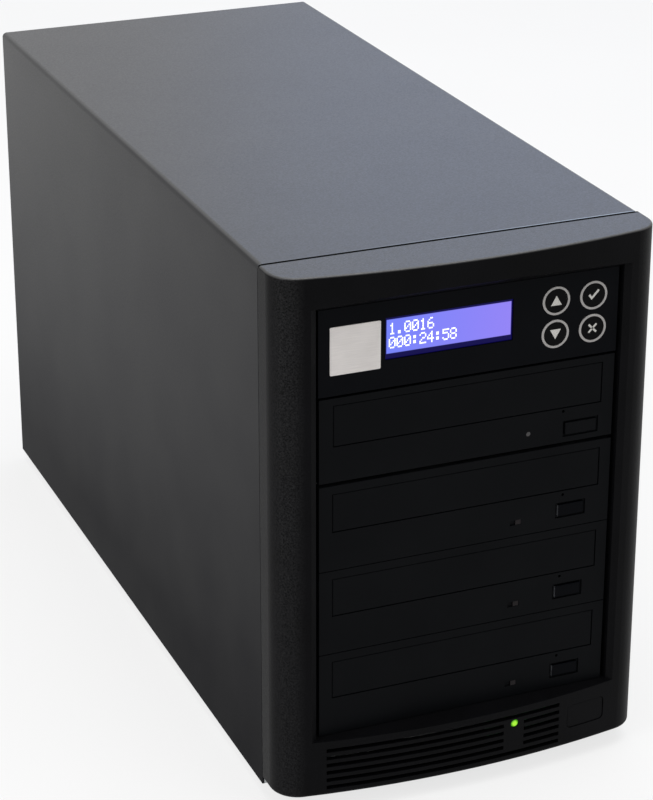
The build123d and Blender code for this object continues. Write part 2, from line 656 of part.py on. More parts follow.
def bay_front(width, z_low, height, thickness, rim):
    """Plate that closes a bay, with a rim behind it."""
    half = width / 2
    z_span = (z_low, z_low + height)
    block((-half, half), (Y_BAY, Y_BAY + rim), z_span)
    inner_x = half - RIM_WALL
    inner_z = (z_span[0] + RIM_WALL, z_span[1] - RIM_WALL)
    block((-inner_x, inner_x), (Y_BAY + thickness, Y_BAY + rim), inner_z, Mode.SUBTRACT)


with BuildPart() as control_panel:
    bay_front(PANEL_W, Z_PANEL, PANEL_H, PANEL_T, PANEL_RIM)
    windows = [((LCD_X, Z_LCD), lambda: Rectangle(LCD_W, LCD_H))]
    windows += [(place, lambda: Circle(KEY_R + SLIDE_GAP)) for place in KEY_PLACES.values()]
    front_prism(Y_BAY, Y_BAY + PANEL_T, windows, Mode.SUBTRACT)
    seat = [((BADGE_X, Z_BADGE), lambda: Rectangle(BADGE_W, BADGE_H))]
    front_prism(Y_BAY, Y_BAY + BADGE_SEAT, seat, Mode.SUBTRACT)
save(control_panel, "control_panel")

with BuildPart() as badge_plate:
    plate = [((BADGE_X, Z_BADGE), lambda: RectangleRounded(BADGE_W, BADGE_H, 0.6))]
    front_prism(Y_BAY + BADGE_SEAT - BADGE_T, Y_BAY + BADGE_SEAT, plate)
save(badge_plate, "badge_plate")

with BuildPart() as lcd_glass:
    pane_w = LCD_W - 2 * SEAT_GAP
    pane_h = LCD_H - 2 * SEAT_GAP
    front_prism(
        Y_LCD_FRAME - LCD_GLASS_T, Y_LCD_FRAME, [((LCD_X, Z_LCD), lambda: Rectangle(pane_w, pane_h))]
    )
save(lcd_glass, "lcd_glass")

with BuildPart() as lcd_frame:
    block(
        (LCD_X - LCD_FRAME_W / 2, LCD_X + LCD_FRAME_W / 2),
        (Y_LCD_FRAME, Y_KEY_BOARD),
        (Z_LCD - LCD_FRAME_H / 2, Z_LCD + LCD_FRAME_H / 2),
    )
save(lcd_frame, "lcd_frame")

KEY_FLANGE_R = KEY_R + 1.0
KEY_FLANGE_T = 0.8
KEY_STEM_R = 1.8
KEY_STEM_L = 1.4
Y_KEY_FLANGE = Y_BAY + PANEL_T + SEAT_GAP
Y_KEY_END = Y_KEY_FLANGE + KEY_FLANGE_T + KEY_STEM_L


def make_key(name, place):
    """Round push key, held behind the panel by its flange."""
    with BuildPart() as key:
        front_prism(Y_BAY - KEY_PROUD, Y_KEY_FLANGE, [(place, lambda: Circle(KEY_R))])
        flange_end = Y_KEY_FLANGE + KEY_FLANGE_T
        front_prism(Y_KEY_FLANGE, flange_end, [(place, lambda: RegularPolygon(KEY_FLANGE_R, 12))])
        front_prism(flange_end, Y_KEY_END, [(place, lambda: RegularPolygon(KEY_STEM_R, 6))])
    save(key, name)


for key_name, key_place in KEY_PLACES.items():
    make_key(key_name, key_place)


def key_ring():
    """Flat ring round a key; many-sided, to keep the faces few."""
    RegularPolygon(KEY_RING_R, RING_SIDES)
    RegularPolygon(KEY_R + SLIDE_GAP, RING_SIDES, major_radius=False, mode=Mode.SUBTRACT)


with BuildPart() as key_rings:
    front_prism(Y_BAY - KEY_RING_T, Y_BAY, [(place, key_ring) for place in KEY_PLACES.values()])
save(key_rings, "key_rings")

BRACKET_HALF = SHELL_W / 2
Z_BRACKET = Z_UNIT + 1.0
Y_BRACKET = Y_BAY + PANEL_RIM
BRACKET_Y = (Y_BRACKET, Y_BRACKET + BRACKET_D)
Z_CONTROLLER = Z_BRACKET + SHEET + STANDOFF_H
CONTROLLER_Y = (BRACKET_Y[1] - CONTROLLER_D + 4, BRACKET_Y[1] + 4)
STANDOFF_X = CONTROLLER_W / 2 - 6
STANDOFFS = [
    (x, y)
    for x in (-STANDOFF_X, STANDOFF_X)
    for y in (CONTROLLER_Y[0] + 6, CONTROLLER_Y[1] - 12)
]

with BuildPart() as panel_board:
    board_x = BRACKET_HALF - SHEET - 1
    board_z = (Z_BRACKET + SHEET + 1, Z_PANEL + PANEL_H - RIM_WALL - 1)
    block((-board_x, board_x), (Y_KEY_BOARD, Y_KEY_BOARD + BOARD_T), board_z)
    switch_face = Y_KEY_END + KEY_TRAVEL + SLIDE_GAP
    switches = [(place, lambda: Rectangle(6, 6)) for place in KEY_PLACES.values()]
    front_prism(switch_face, Y_KEY_BOARD, switches)
save(panel_board, "panel_board")

with BuildPart() as panel_bracket:
    wall_top = Z_UNIT + BAY_PITCH - 2
    block((-BRACKET_HALF, BRACKET_HALF), BRACKET_Y, (Z_BRACKET, wall_top))
    inner = BRACKET_HALF - SHEET
    block((-inner, inner), BRACKET_Y, (Z_BRACKET + SHEET, wall_top), Mode.SUBTRACT)
    with BuildSketch(Plane.XY.offset(Z_BRACKET + SHEET)):
        with Locations(*STANDOFFS):
            RegularPolygon(STANDOFF_R, 6)
    extrude(amount=STANDOFF_H)
    with BuildSketch(Plane.YZ.offset(-BRACKET_HALF)):
        with Locations(*DRIVE_SCREW_PLACES[-2:]):
            screw_hole()
    extrude(amount=2 * BRACKET_HALF, mode=Mode.SUBTRACT)
save(panel_bracket, "panel_bracket")

Z_CONTROLLER_TOP = Z_CONTROLLER + BOARD_T
PORT_PITCH = 18.0
PORT_D = 10.0
HEATSINK_W = 36.0
HEATSINK_BASE = 2.5
HEATSINK_H = 12.0
FIN_PITCH = 6.0
FIN_T = 1.6
CHIP_W = 18.0
CHIP_T = 1.6
CHIP_X = (-42.0, 38.0)
PORT_X = [DATA_X - (port + 1) * PORT_PITCH for port in range(4)]
PORT_H = 8.0
Z_PORT = Z_CONTROLLER_TOP + PORT_H / 2

with BuildPart() as controller_board:
    half = CONTROLLER_W / 2
    block((-half, half), CONTROLLER_Y, (Z_CONTROLLER, Z_CONTROLLER_TOP))
    port_y = (CONTROLLER_Y[1] - PORT_D, CONTROLLER_Y[1])
    for x in PORT_X:
        port_x = (x - DATA_PLUG_W / 2, x + DATA_PLUG_W / 2)
        block(port_x, port_y, (Z_CONTROLLER_TOP, Z_CONTROLLER_TOP + PORT_H))
    chip_y = CONTROLLER_Y[0] + CONTROLLER_D / 2
    base_top = Z_CONTROLLER_TOP + HEATSINK_BASE
    sink = (-HEATSINK_W / 2, HEATSINK_W / 2)
    sink_y = (chip_y + sink[0], chip_y + sink[1])
    block(sink, sink_y, (Z_CONTROLLER_TOP, base_top))
    fins = int(HEATSINK_W / FIN_PITCH)
    for fin in range(fins):
        fin_x = (fin - (fins - 1) / 2) * FIN_PITCH
        fin_z = (base_top, Z_CONTROLLER_TOP + HEATSINK_H)
        block((fin_x - FIN_T / 2, fin_x + FIN_T / 2), sink_y, fin_z)
    for chip_x in CHIP_X:
        chip_span = (chip_x - CHIP_W / 2, chip_x + CHIP_W / 2)
        chip_depth = (chip_y - CHIP_W / 2, chip_y + CHIP_W / 2)
        block(chip_span, chip_depth, (Z_CONTROLLER_TOP, Z_CONTROLLER_TOP + CHIP_T))
save(controller_board, "controller_board")


# ------------------------------------------------------------------ drives
@dataclass
class DriveMake:
    """What differs between the two makes of drive. Rises are above the bottom of the bay."""

    front_h: float
    flap_w: float
    flap_h: float
    flap_rise: float
    eject_x: float
    eject_rise: float
    eject_w: float
    eject_h: float
    lens_x: float
    lens_rise: float
    pinhole_x: float
    round_lens: bool


WRITER = DriveMake(
    front_h=WRITER_FRONT_H,
    flap_w=WRITER_FLAP_W,
    flap_h=WRITER_FLAP_H,
    flap_rise=WRITER_FLAP_RISE,
    eject_x=WRITER_EJECT_X,
    eject_rise=WRITER_EJECT_RISE,
    eject_w=WRITER_EJECT_W,
    eject_h=WRITER_EJECT_H,
    lens_x=WRITER_LENS_X,
    lens_rise=WRITER_LENS_RISE,
    pinhole_x=WRITER_PINHOLE_X,
    round_lens=False,
)
READER = DriveMake(
    front_h=READER_FRONT_H,
    flap_w=READER_FLAP_W,
    flap_h=READER_FLAP_H,
    flap_rise=READER_FLAP_RISE,
    eject_x=READER_EJECT_X,
    eject_rise=READER_EJECT_RISE,
    eject_w=READER_EJECT_W,
    eject_h=READER_EJECT_H,
    lens_x=READER_LENS_X,
    lens_rise=READER_LENS_RISE,
    pinhole_x=READER_PINHOLE_X,
    round_lens=True,
)
DRIVES = [("writer_3", 0, WRITER), ("writer_2", 1, WRITER), ("writer_1", 2, WRITER)]
DRIVES += [("reader", 3, READER)]

SHELL_FLOOR = (BAY_PITCH - SHELL_H) / 2  # shell above the bottom of the bay
LOADER_REST = SHELL_FLOOR + SHEET
SOCKET_RISE = SHELL_FLOOR + 9.0
Y_SOCKET_BACK = Y_SHELL_BACK + SOCKET_D


def make_shell(name, floor):
    """Steel case of a drive, open at the front, with the socket strip on its back."""
    z_span = (floor + SHELL_FLOOR, floor + SHELL_FLOOR + SHELL_H)
    with BuildPart() as shell:
        block((-SHELL_W / 2, SHELL_W / 2), (Y_SHELL, Y_SHELL_BACK), z_span)
        inner = SHELL_W / 2 - SHEET
        inner_z = (z_span[0] + SHEET, z_span[1] - SHEET)
        block((-inner, inner), (Y_SHELL, Y_SHELL_BACK - SHEET), inner_z, Mode.SUBTRACT)
        socket_x = (DATA_X - DATA_PLUG_W / 2, POWER_PLUG_X + POWER_PLUG_W / 2)
        socket_z = (floor + SOCKET_RISE - SOCKET_H / 2, floor + SOCKET_RISE + SOCKET_H / 2)
        block(socket_x, (Y_SHELL_BACK, Y_SOCKET_BACK), socket_z)
        screws = [place for place in DRIVE_SCREW_PLACES if floor < place[1] < floor + BAY_PITCH]
        with BuildSketch(Plane.YZ.offset(-SHELL_W / 2)):
            with Locations(*screws):
                screw_hole()
        extrude(amount=SHELL_W, mode=Mode.SUBTRACT)
    save(shell, f"{name}_shell")


def make_front(name, floor, make):
    """Moulded front of a drive: tray opening, button pocket, lamp window and pinhole."""
    low = floor + BAY_PITCH - BAY_LINE / 2 - make.front_h
    with BuildPart() as front:
        bay_front(SHELL_W, low, make.front_h, FRONT_T, FRONT_RIM)
        flap = (FLAP_X, floor + make.flap_rise + make.flap_h / 2)
        flap_hole = (make.flap_w + 2 * SLIDE_GAP, make.flap_h + 2 * SLIDE_GAP)
        eject = (make.eject_x, floor + make.eject_rise)
        eject_hole = (make.eject_w + 2 * SLIDE_GAP, make.eject_h + 2 * SLIDE_GAP)
        lens = (make.lens_x, floor + make.lens_rise)
        pinhole = (make.pinhole_x, floor + PINHOLE_RISE)
        cuts = [(flap, lambda: Rectangle(*flap_hole)), (eject, lambda: Rectangle(*eject_hole))]
        cuts += [(pinhole, lambda: Circle(PINHOLE_R))]
        if make.round_lens:
            cuts += [(lens, lambda: Circle(READER_LENS_R + SEAT_GAP / 2))]
        else:
            hole = (WRITER_LENS_W + SEAT_GAP, WRITER_LENS_H + SEAT_GAP)
            cuts += [(lens, lambda: Rectangle(*hole))]
        front_prism(Y_BAY, Y_BAY + FRONT_T, cuts, Mode.SUBTRACT)
        pocket_edge = 2 * EJECT_POCKET
        pocket = (eject_hole[0] + pocket_edge, eject_hole[1] + pocket_edge)
        pockets = [(eject, lambda: Rectangle(*pocket))]
        if not make.round_lens:
            window = (lens[0] - WRITER_LENS_W / 2, lens[1])
            size = (2 * WRITER_LENS_W + 2 * SEAT_GAP, WRITER_LENS_H + 2 * SEAT_GAP)
            pockets += [(window, lambda: Rectangle(*size))]
        front_prism(Y_BAY, Y_BAY + EJECT_POCKET, pockets, Mode.SUBTRACT)
    save(front, f"{name}_front")


def make_flap(name, floor, make):
    """Flap on the front of the tray, flush with the drive's front when the tray is in."""
    place = (FLAP_X, floor + make.flap_rise + make.flap_h / 2)
    with BuildPart() as flap:
        front_prism(Y_BAY, Y_BAY + FLAP_T, [(place, lambda: Rectangle(make.flap_w, make.flap_h))])
        face = flap.faces().sort_by(Axis.Y)[0]
        chamfer(face.edges(), length=0.35)
    save(flap, f"{name}_tray_front")


def make_tray(name, floor):
    """Disc tray: a wide well for full discs, a small one inside it, and the slot that lets the
    turntable and the pick-up reach the disc."""
    top = floor + TRAY_RISE + TRAY_H
    tray_y = (Y_BAY + FLAP_T, Y_BAY + FLAP_T + TRAY_D)
    with BuildPart() as tray:
        block((-TRAY_W / 2, TRAY_W / 2), tray_y, (floor + TRAY_RISE, top))
        fillet(tray.edges().filter_by(Axis.Z).group_by(Axis.Y)[-1], radius=TRAY_CORNER_R)
        with BuildSketch(Plane.XY.offset(top)):
            with Locations((0, Y_WELL)):
                Circle(WELL_R)
        extrude(amount=-WELL_DEPTH, mode=Mode.SUBTRACT)
        with BuildSketch(Plane.XY.offset(top)):
            with Locations((0, Y_WELL)):
                Circle(SMALL_WELL_R)
        extrude(amount=-WELL_DEPTH - SMALL_WELL_DEPTH, mode=Mode.SUBTRACT)
        with BuildSketch(Plane.XY.offset(top)):
            with Locations((0, Y_WELL)):
                Circle(HUB_SLOT_W / 2)
            with Locations((0, Y_WELL + HUB_SLOT_REACH / 2)):
                Rectangle(HUB_SLOT_W, HUB_SLOT_REACH)
        extrude(amount=-TRAY_H, mode=Mode.SUBTRACT)
    save(tray, f"{name}_tray")


def make_eject(name, floor, make):
    """Eject button with the flange that keeps it in the front."""
    place = (make.eject_x, floor + make.eject_rise)
    flange_y = Y_BAY + FRONT_T + SEAT_GAP
    with BuildPart() as button:
        cap = [(place, lambda: Rectangle(make.eject_w, make.eject_h))]
        front_prism(Y_BAY - EJECT_PROUD, flange_y, cap)
        chamfer(button.faces().sort_by(Axis.Y)[0].edges(), length=0.4)
        flange = [(place, lambda: Rectangle(make.eject_w + 1.6, make.eject_h + 1.6))]
        front_prism(flange_y, flange_y + 1.2, flange)
    save(button, f"{name}_eject")


def make_spindle(name, floor):
    """Turntable on its shaft, which runs in the motor's bearing."""
    motor_top = floor + LOADER_REST + MOTOR_H
    table_low = motor_top + SLIDE_GAP
    hub_top = floor + TRAY_RISE - 2 * SLIDE_GAP
    with BuildPart() as spindle:
        with BuildSketch(Plane.XY.offset(motor_top - SPINDLE_DEPTH + SEAT_GAP)):
            with Locations((0, Y_WELL)):
                Circle(SPINDLE_R)
        extrude(amount=SPINDLE_DEPTH - SEAT_GAP + SLIDE_GAP + TABLE_T)
        with BuildSketch(Plane.XY.offset(table_low)):
            with Locations((0, Y_WELL)):
                RegularPolygon(TABLE_R, TURN_SIDES)
        extrude(amount=TABLE_T)
        with BuildSketch(Plane.XY.offset(table_low + TABLE_T)):
            with Locations((0, Y_WELL)):
                RegularPolygon(HUB_R, TURN_SIDES)
        extrude(amount=hub_top - table_low - TABLE_T, taper=15)
    save(spindle, f"{name}_spindle")


def loader_frame(floor):
    """Moulded frame in a drive: guides for the tray, the motor with its bearing, and the
    pick-up on its sled."""
    rest = floor + LOADER_REST
    loader_y = (Y_SHELL + LOADER_SETBACK, Y_SHELL + LOADER_SETBACK + LOADER_D)
    guide_x = TRAY_W / 2 + GUIDE_GAP
    frame_top = rest + LOADER_FLOOR
    block((-guide_x - GUIDE_WALL, guide_x + GUIDE_WALL), loader_y, (rest, frame_top))
    window_y = (Y_WELL - LOADER_WINDOW_FRONT, loader_y[1] - LOADER_WINDOW_TAIL)
    window_x = guide_x - LOADER_WINDOW_RIM
    block((-window_x, window_x), window_y, (rest, frame_top), Mode.SUBTRACT)
    ledge_top = floor + TRAY_RISE - SLIDE_GAP
    for side in (-1, 1):
        wall_x = sorted((side * guide_x, side * (guide_x + GUIDE_WALL)))
        block(wall_x, loader_y, (rest, ledge_top + GUIDE_RISE))
        ledge_x = sorted((side * guide_x, side * (guide_x - GUIDE_LEDGE)))
        block(ledge_x, loader_y, (ledge_top - GUIDE_LEDGE_T, ledge_top))
    bridge_x = guide_x - MOTOR_BRIDGE_RIM
    block((-bridge_x, bridge_x), (Y_WELL - MOTOR_R, Y_WELL + MOTOR_R), (rest, frame_top))
    with BuildSketch(Plane.XY.offset(rest)) as motor:
        with Locations((0, Y_WELL)):
            RegularPolygon(MOTOR_R, TURN_SIDES)
    extrude(motor.sketch, amount=MOTOR_H)
    with BuildSketch(Plane.XY.offset(rest + MOTOR_H)) as bearing:
        with Locations((0, Y_WELL)):
            Circle(SPINDLE_R + SHAFT_GAP)
    extrude(bearing.sketch, amount=-SPINDLE_DEPTH, mode=Mode.SUBTRACT)
    rail_y = (Y_WELL + MOTOR_R - SHEET, window_y[1] + SHEET)
    for rail_x in (-RAIL_X, RAIL_X):
        rail_span = (rail_x - RAIL_W / 2, rail_x + RAIL_W / 2)
        block(rail_span, rail_y, (rest, frame_top + RAIL_H))
    sled_x = RAIL_X + RAIL_W / 2
    sled_y = (Y_WELL + SLED_FRONT, Y_WELL + SLED_FRONT + SLED_D)
    sled_low = frame_top + RAIL_H / 2
    block((-sled_x, sled_x), sled_y, (sled_low, sled_low + SLED_H))


for drive_name, drive_bay, drive_make in DRIVES:
    drive_floor = bay_floor(drive_bay)
    make_shell(drive_name, drive_floor)
    make_front(drive_name, drive_floor, drive_make)
    make_flap(drive_name, drive_floor, drive_make)
    make_tray(drive_name, drive_floor)
    make_eject(drive_name, drive_floor, drive_make)
    make_spindle(drive_name, drive_floor)

with BuildPart() as loader_chassis:
    for drive_name, drive_bay, drive_make in DRIVES:
        loader_frame(bay_floor(drive_bay))
save(loader_chassis, "loader_chassis")

with BuildPart() as drive_lenses:
    for drive_name, drive_bay, drive_make in DRIVES:
        lens_place = (drive_make.lens_x, bay_floor(drive_bay) + drive_make.lens_rise)
        if drive_make.round_lens:
            lens_shape = [(lens_place, lambda: Circle(READER_LENS_R))]
        else:
            lens_shape = [(lens_place, lambda: Rectangle(WRITER_LENS_W, WRITER_LENS_H))]
        front_prism(Y_BAY + 0.2, Y_BAY + FRONT_T + 2, lens_shape)
save(drive_lenses, "drive_lenses")


# ------------------------------------------------------------------ fans
BLADE_ROOT = FAN_HUB_R - 1
BLADE_TIP = FAN_BORE_R - FAN_TIP_GAP


def fan_blade(middle):
    """One twisted blade, lofted from a steep root to a flatter tip, which is cut round."""
    with BuildPart() as blade:
        for reach, chord, pitch in ((BLADE_ROOT, 17, 38), (BLADE_TIP + 2, 25, 24)):
            station = Plane(origin=(middle[0] + reach, *middle[1:]), x_dir=(0, 0, 1), z_dir=(1, 0, 0))
            with BuildSketch(station):
                Rectangle(chord, 1.4, rotation=pitch)
        loft()
        sweep_y = (middle[1] - FAN_D / 2, middle[1] + FAN_D / 2)
        swept = [((middle[0], middle[2]), lambda: Circle(BLADE_TIP))]
        front_prism(*sweep_y, swept, Mode.INTERSECT)
    return blade.part


def make_rotor(name, x, y_back, z):
    """Fan rotor: hub, blades and the shaft that runs in the frame's bearing."""
    y_hub = (y_back - FAN_D + 6, y_back - 2)
    middle = (x, (y_hub[0] + y_hub[1]) / 2, z)
    blade = fan_blade(middle)
    turn = Axis((x, middle[1], z), (0, 1, 0))
    with BuildPart() as rotor:
        front_prism(*y_hub, [((x, z), lambda: Circle(FAN_HUB_R))])
        for step in range(FAN_BLADES):
            add(blade.rotate(turn, step * 360 / FAN_BLADES))
        shaft_end = y_hub[0] - 5
        front_prism(shaft_end, y_hub[0], [((x, z), lambda: Circle(FAN_SHAFT_R))])
    save(rotor, name)


def make_fan_frame(name, x, y_back, z):
    """Square fan frame with its bore, four struts and the bearing at the far end."""
    y_span = (y_back - FAN_D, y_back)
    strut_y = (y_span[0], y_span[0] + 5.5)
    corner = FAN_HOLE_PITCH / 2
    corners = [(x + sx * corner, z + sz * corner) for sx in (-1, 1) for sz in (-1, 1)]
    with BuildPart() as frame:
        front_prism(*y_span, [((x, z), lambda: RectangleRounded(FAN_SIZE, FAN_SIZE, 4))])
        bore = [((x, z), lambda: Circle(FAN_BORE_R))]
        bore += [(place, screw_hole) for place in corners]
        front_prism(*y_span, bore, Mode.SUBTRACT)
        struts = [((x, z), lambda: Rectangle(2 * FAN_BORE_R + 1, 5))]
        struts += [((x, z), lambda: Rectangle(5, 2 * FAN_BORE_R + 1))]
        struts += [((x, z), lambda: Circle(FAN_HUB_R))]
        front_prism(*strut_y, struts)
        bearing = [((x, z), lambda: Circle(FAN_SHAFT_R + SHAFT_GAP))]
        front_prism(*strut_y, bearing, Mode.SUBTRACT)
    save(frame, name)


make_fan_frame("case_fan_frame", 0, Y_PSU, Z_CASE_FAN)
make_rotor("case_fan_rotor", 0, Y_PSU, Z_CASE_FAN)

# ------------------------------------------------------------------ power supply
Y_PSU_FRONT = Y_PSU - PSU_D
Y_PSU_FAN = Y_PSU - SHEET  # the supply's fan sits inside its back wall
Z_INLET = Z_PSU + INLET_RISE
Z_ROCKER = Z_PSU + ROCKER_RISE
GUARD_SCREWS = [
    (PSU_FAN_X + sx * FAN_HOLE_PITCH / 2, Z_PSU_FAN + sz * FAN_HOLE_PITCH / 2)
    for sx in (-1, 1)
    for sz in (-1, 1)
]
ROCKER_HOLE = (ROCKER_W + 1.0, ROCKER_H + 1.0)
Z_TRUNK = Z_PSU + 28

with BuildPart() as psu_housing:
    psu_z = (Z_PSU, Z_PSU + PSU_H)
    block((-PSU_W / 2, PSU_W / 2), (Y_PSU_FRONT, Y_PSU), psu_z)
    inner = PSU_W / 2 - SHEET
    inner_z = (psu_z[0] + SHEET, psu_z[1] - SHEET)
    block((-inner, inner), (Y_PSU_FRONT + SHEET, Y_PSU - SHEET), inner_z, Mode.SUBTRACT)
    cuts = [((PSU_FAN_X, Z_PSU_FAN), lambda: Circle(FAN_BORE_R))]
    cuts += [((INLET_X, Z_INLET), lambda: Rectangle(INLET_W, INLET_H))]
    cuts += [((INLET_X, Z_ROCKER), lambda: Rectangle(*ROCKER_HOLE))]
    cuts += [(place, screw_hole) for place in GUARD_SCREWS + PSU_SCREWS]
    front_prism(Y_PSU - SHEET, Y_PSU, cuts, Mode.SUBTRACT)
    vent_y = (Y_PSU_FRONT, Y_PSU_FRONT + SHEET)
    vents = []
    for step in range(VENTS):
        vent_x = VENT_LEFT + step * VENT_PITCH
        vents += [((vent_x, Z_PSU_FAN), lambda: Rectangle(VENT_W, PSU_H - 2 * VENT_INSET))]
    vents += [((POWER_PLUG_X, Z_TRUNK), lambda: Circle(TRUNK_R + SEAT_GAP))]
    front_prism(*vent_y, vents, Mode.SUBTRACT)
save(psu_housing, "psu_housing")

with BuildPart() as psu_inlet:
    body = [((INLET_X, Z_INLET), lambda: Rectangle(INLET_W, INLET_H))]
    front_prism(Y_PSU - INLET_D, Y_PSU, body)
    flange_size = (INLET_W + 2 * INLET_FLANGE, INLET_H + 2 * INLET_FLANGE)
    flange = [((INLET_X, Z_INLET), lambda: RectangleRounded(*flange_size, 2))]
    front_prism(Y_PSU, Y_PSU + INLET_FLANGE_T, flange)
    mouth_y = Y_PSU + INLET_FLANGE_T
    cavity = [((INLET_X, Z_INLET), lambda: Rectangle(INLET_CAVITY_W, INLET_CAVITY_H))]
    front_prism(mouth_y - INLET_CAVITY_D, mouth_y, cavity, Mode.SUBTRACT)
    pin_y = (mouth_y - INLET_CAVITY_D, mouth_y - PIN_SETBACK)
    pins = [((INLET_X + dx, Z_INLET + dz), lambda: Rectangle(PIN_W, PIN_H)) for dx, dz in PIN_PLACES]
    front_prism(*pin_y, pins)
save(psu_inlet, "psu_inlet")

Y_ROCKER = Y_PSU - ROCKER_SINK
ROCKER_LEAN = radians(ROCKER_TILT)

with BuildPart() as psu_rocker:
    # side view about the pivot: a shallow V between two wings, leaning to one side at rest
    side_plane = Plane(
        origin=(INLET_X - ROCKER_W / 2, Y_ROCKER, Z_ROCKER),
        x_dir=(0, cos(ROCKER_LEAN), sin(ROCKER_LEAN)),
        z_dir=(1, 0, 0),
    )
    with BuildSketch(side_plane):
        wing = ROCKER_H / 2 - 0.6
        crest = ROCKER_SINK + 0.7
        with BuildLine():
            Polyline(
                (-ROCKER_SINK, 1 - wing),
                (crest, -wing),
                (crest - 1.4, 0),
                (crest, wing),
                (-ROCKER_SINK, wing - 1),
                close=True,
            )
        make_face()
    extrude(amount=ROCKER_W)
save(psu_rocker, "psu_rocker")


make_fan_frame("psu_fan_frame", PSU_FAN_X, Y_PSU_FAN, Z_PSU_FAN)
make_rotor("psu_fan_rotor", PSU_FAN_X, Y_PSU_FAN, Z_PSU_FAN)

GUARD_R = FAN_BORE_R + 0.5
Y_GUARD = (Y_PSU, Y_PSU + GUARD_WIRE)


def guard_wires():
    """Concentric wires, drawn as thin rings."""
    step = GUARD_R / GUARD_RINGS
    for ring in range(GUARD_RINGS):
        outer = GUARD_R - ring * step
        RegularPolygon(outer, GUARD_SIDES)
        RegularPolygon(outer - GUARD_WIRE, GUARD_SIDES, mode=Mode.SUBTRACT)


with BuildPart() as psu_fan_guard:
    front_prism(Y_GUARD[0] + GUARD_WIRE / 2, Y_GUARD[1] + GUARD_WIRE / 2,
                [((PSU_FAN_X, Z_PSU_FAN), guard_wires)])
    for diagonal in (-45, 45):
        arm = lambda: Rectangle(FAN_HOLE_PITCH * sqrt(2), 3, rotation=diagonal)
        front_prism(*Y_GUARD, [((PSU_FAN_X, Z_PSU_FAN), arm)])
    ears = [(place, lambda: RegularPolygon(SCREW_HEAD_R, 6)) for place in GUARD_SCREWS]
    front_prism(*Y_GUARD, ears)
    front_prism(*Y_GUARD, [(place, screw_hole) for place in GUARD_SCREWS], Mode.SUBTRACT)
save(psu_fan_guard, "psu_fan_guard")

# ------------------------------------------------------------------ screws
with BuildPart() as back_screws:
    head_faces = [(PSU_SCREWS + FAN_SCREWS, Y_PANEL), (COVER_SCREWS, Y_BACK)]
    head_faces += [(GUARD_SCREWS, Y_GUARD[1])]
    for places, face_y in head_faces:
        heads = [(place, lambda: RegularPolygon(SCREW_HEAD_R, 6)) for place in places]
        front_prism(face_y, face_y + SCREW_HEAD_H, heads)
        shanks = [(place, lambda: RegularPolygon(SCREW_R, 6)) for place in places]
        front_prism(face_y - SCREW_L, face_y, shanks)
save(back_screws, "back_screws")

with BuildPart() as drive_screws:
    for side in (-1, 1):
        outer_x = side * (CAGE_X + SHEET)
        for y, z in DRIVE_SCREW_PLACES:
            head_plane = Plane(origin=(outer_x, y, z), x_dir=(0, 1, 0), z_dir=(side, 0, 0))
            with BuildSketch(head_plane):
                RegularPolygon(SCREW_HEAD_R, 6)
            extrude(amount=SCREW_HEAD_H)
            with BuildSketch(head_plane):
                RegularPolygon(SCREW_R, 6)
            extrude(amount=-SHEET - SEAT_GAP - SHEET)
save(drive_screws, "drive_screws")


# ------------------------------------------------------------------ leads
def lead(points, radius, bend):
    """Six-sided lead along straight runs joined by arcs."""
    with BuildLine() as route:
        FilletPolyline(*points, radius=bend)
    start = route.line @ 0
    with BuildSketch(Plane(origin=start, z_dir=route.line % 0)) as section:
        RegularPolygon(radius, LEAD_SIDES)
    sweep(section.sketch, path=route.line)


Y_TRUNK = Y_SOCKET_BACK + TRUNK_SETBACK

with BuildPart() as data_cables:
    # the lowest drive has the farthest lane, so no lead crosses another
    for lane, (drive_name, drive_bay, drive_make) in enumerate(reversed(DRIVES)):
        z_plug = bay_floor(drive_bay) + SOCKET_RISE
        y_lane = Y_SOCKET_BACK + PLUG_D + LEAD_BEND_R + 6 + lane * LEAD_LANE
        x_port = PORT_X[lane]
        y_port = CONTROLLER_Y[1]
        route_points = [
            (x_port, y_port + PLUG_D, Z_PORT),
            (x_port, y_lane, Z_PORT),
            (DATA_X, y_lane, z_plug),
            (DATA_X, Y_SOCKET_BACK + PLUG_D, z_plug),
        ]
        lead(route_points, LEAD_R, LEAD_BEND_R)
        plug_z = (Z_PORT - SOCKET_H / 2, Z_PORT + SOCKET_H / 2)
        half = DATA_PLUG_W / 2
        block((x_port - half, x_port + half), (y_port, y_port + PLUG_D), plug_z)
        plug_z = (z_plug - SOCKET_H / 2, z_plug + SOCKET_H / 2)
        block((DATA_X - half, DATA_X + half), (Y_SOCKET_BACK, Y_SOCKET_BACK + PLUG_D), plug_z)
save(data_cables, "data_cables")

with BuildPart() as power_harness:
    lowest = bay_floor(0) + SOCKET_RISE
    trunk_points = [
        (POWER_PLUG_X, Y_PSU_FRONT + SHEET, Z_TRUNK),
        (POWER_PLUG_X, Y_TRUNK, Z_TRUNK),
        (POWER_PLUG_X, Y_TRUNK, lowest - 3),
    ]
    lead(trunk_points, TRUNK_R, 2 * LEAD_BEND_R)
    # inside the trunk, a thinner bundle goes on to the highest plug
    highest = bay_floor(len(DRIVES) - 1) + SOCKET_RISE
    with BuildSketch(Plane.XY.offset(lowest)):
        with Locations((POWER_PLUG_X, Y_TRUNK)):
            RegularPolygon(LEAD_R, LEAD_SIDES)
    extrude(amount=highest - lowest)
    half = POWER_PLUG_W / 2
    for drive_name, drive_bay, drive_make in DRIVES:
        z_plug = bay_floor(drive_bay) + SOCKET_RISE
        plug_z = (z_plug - SOCKET_H / 2, z_plug + SOCKET_H / 2)
        block((POWER_PLUG_X - half, POWER_PLUG_X + half), (Y_SOCKET_BACK, Y_TRUNK), plug_z)
save(power_harness, "power_harness")
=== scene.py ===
import math

import bpy
import numpy as np
from mathutils import Matrix, Vector


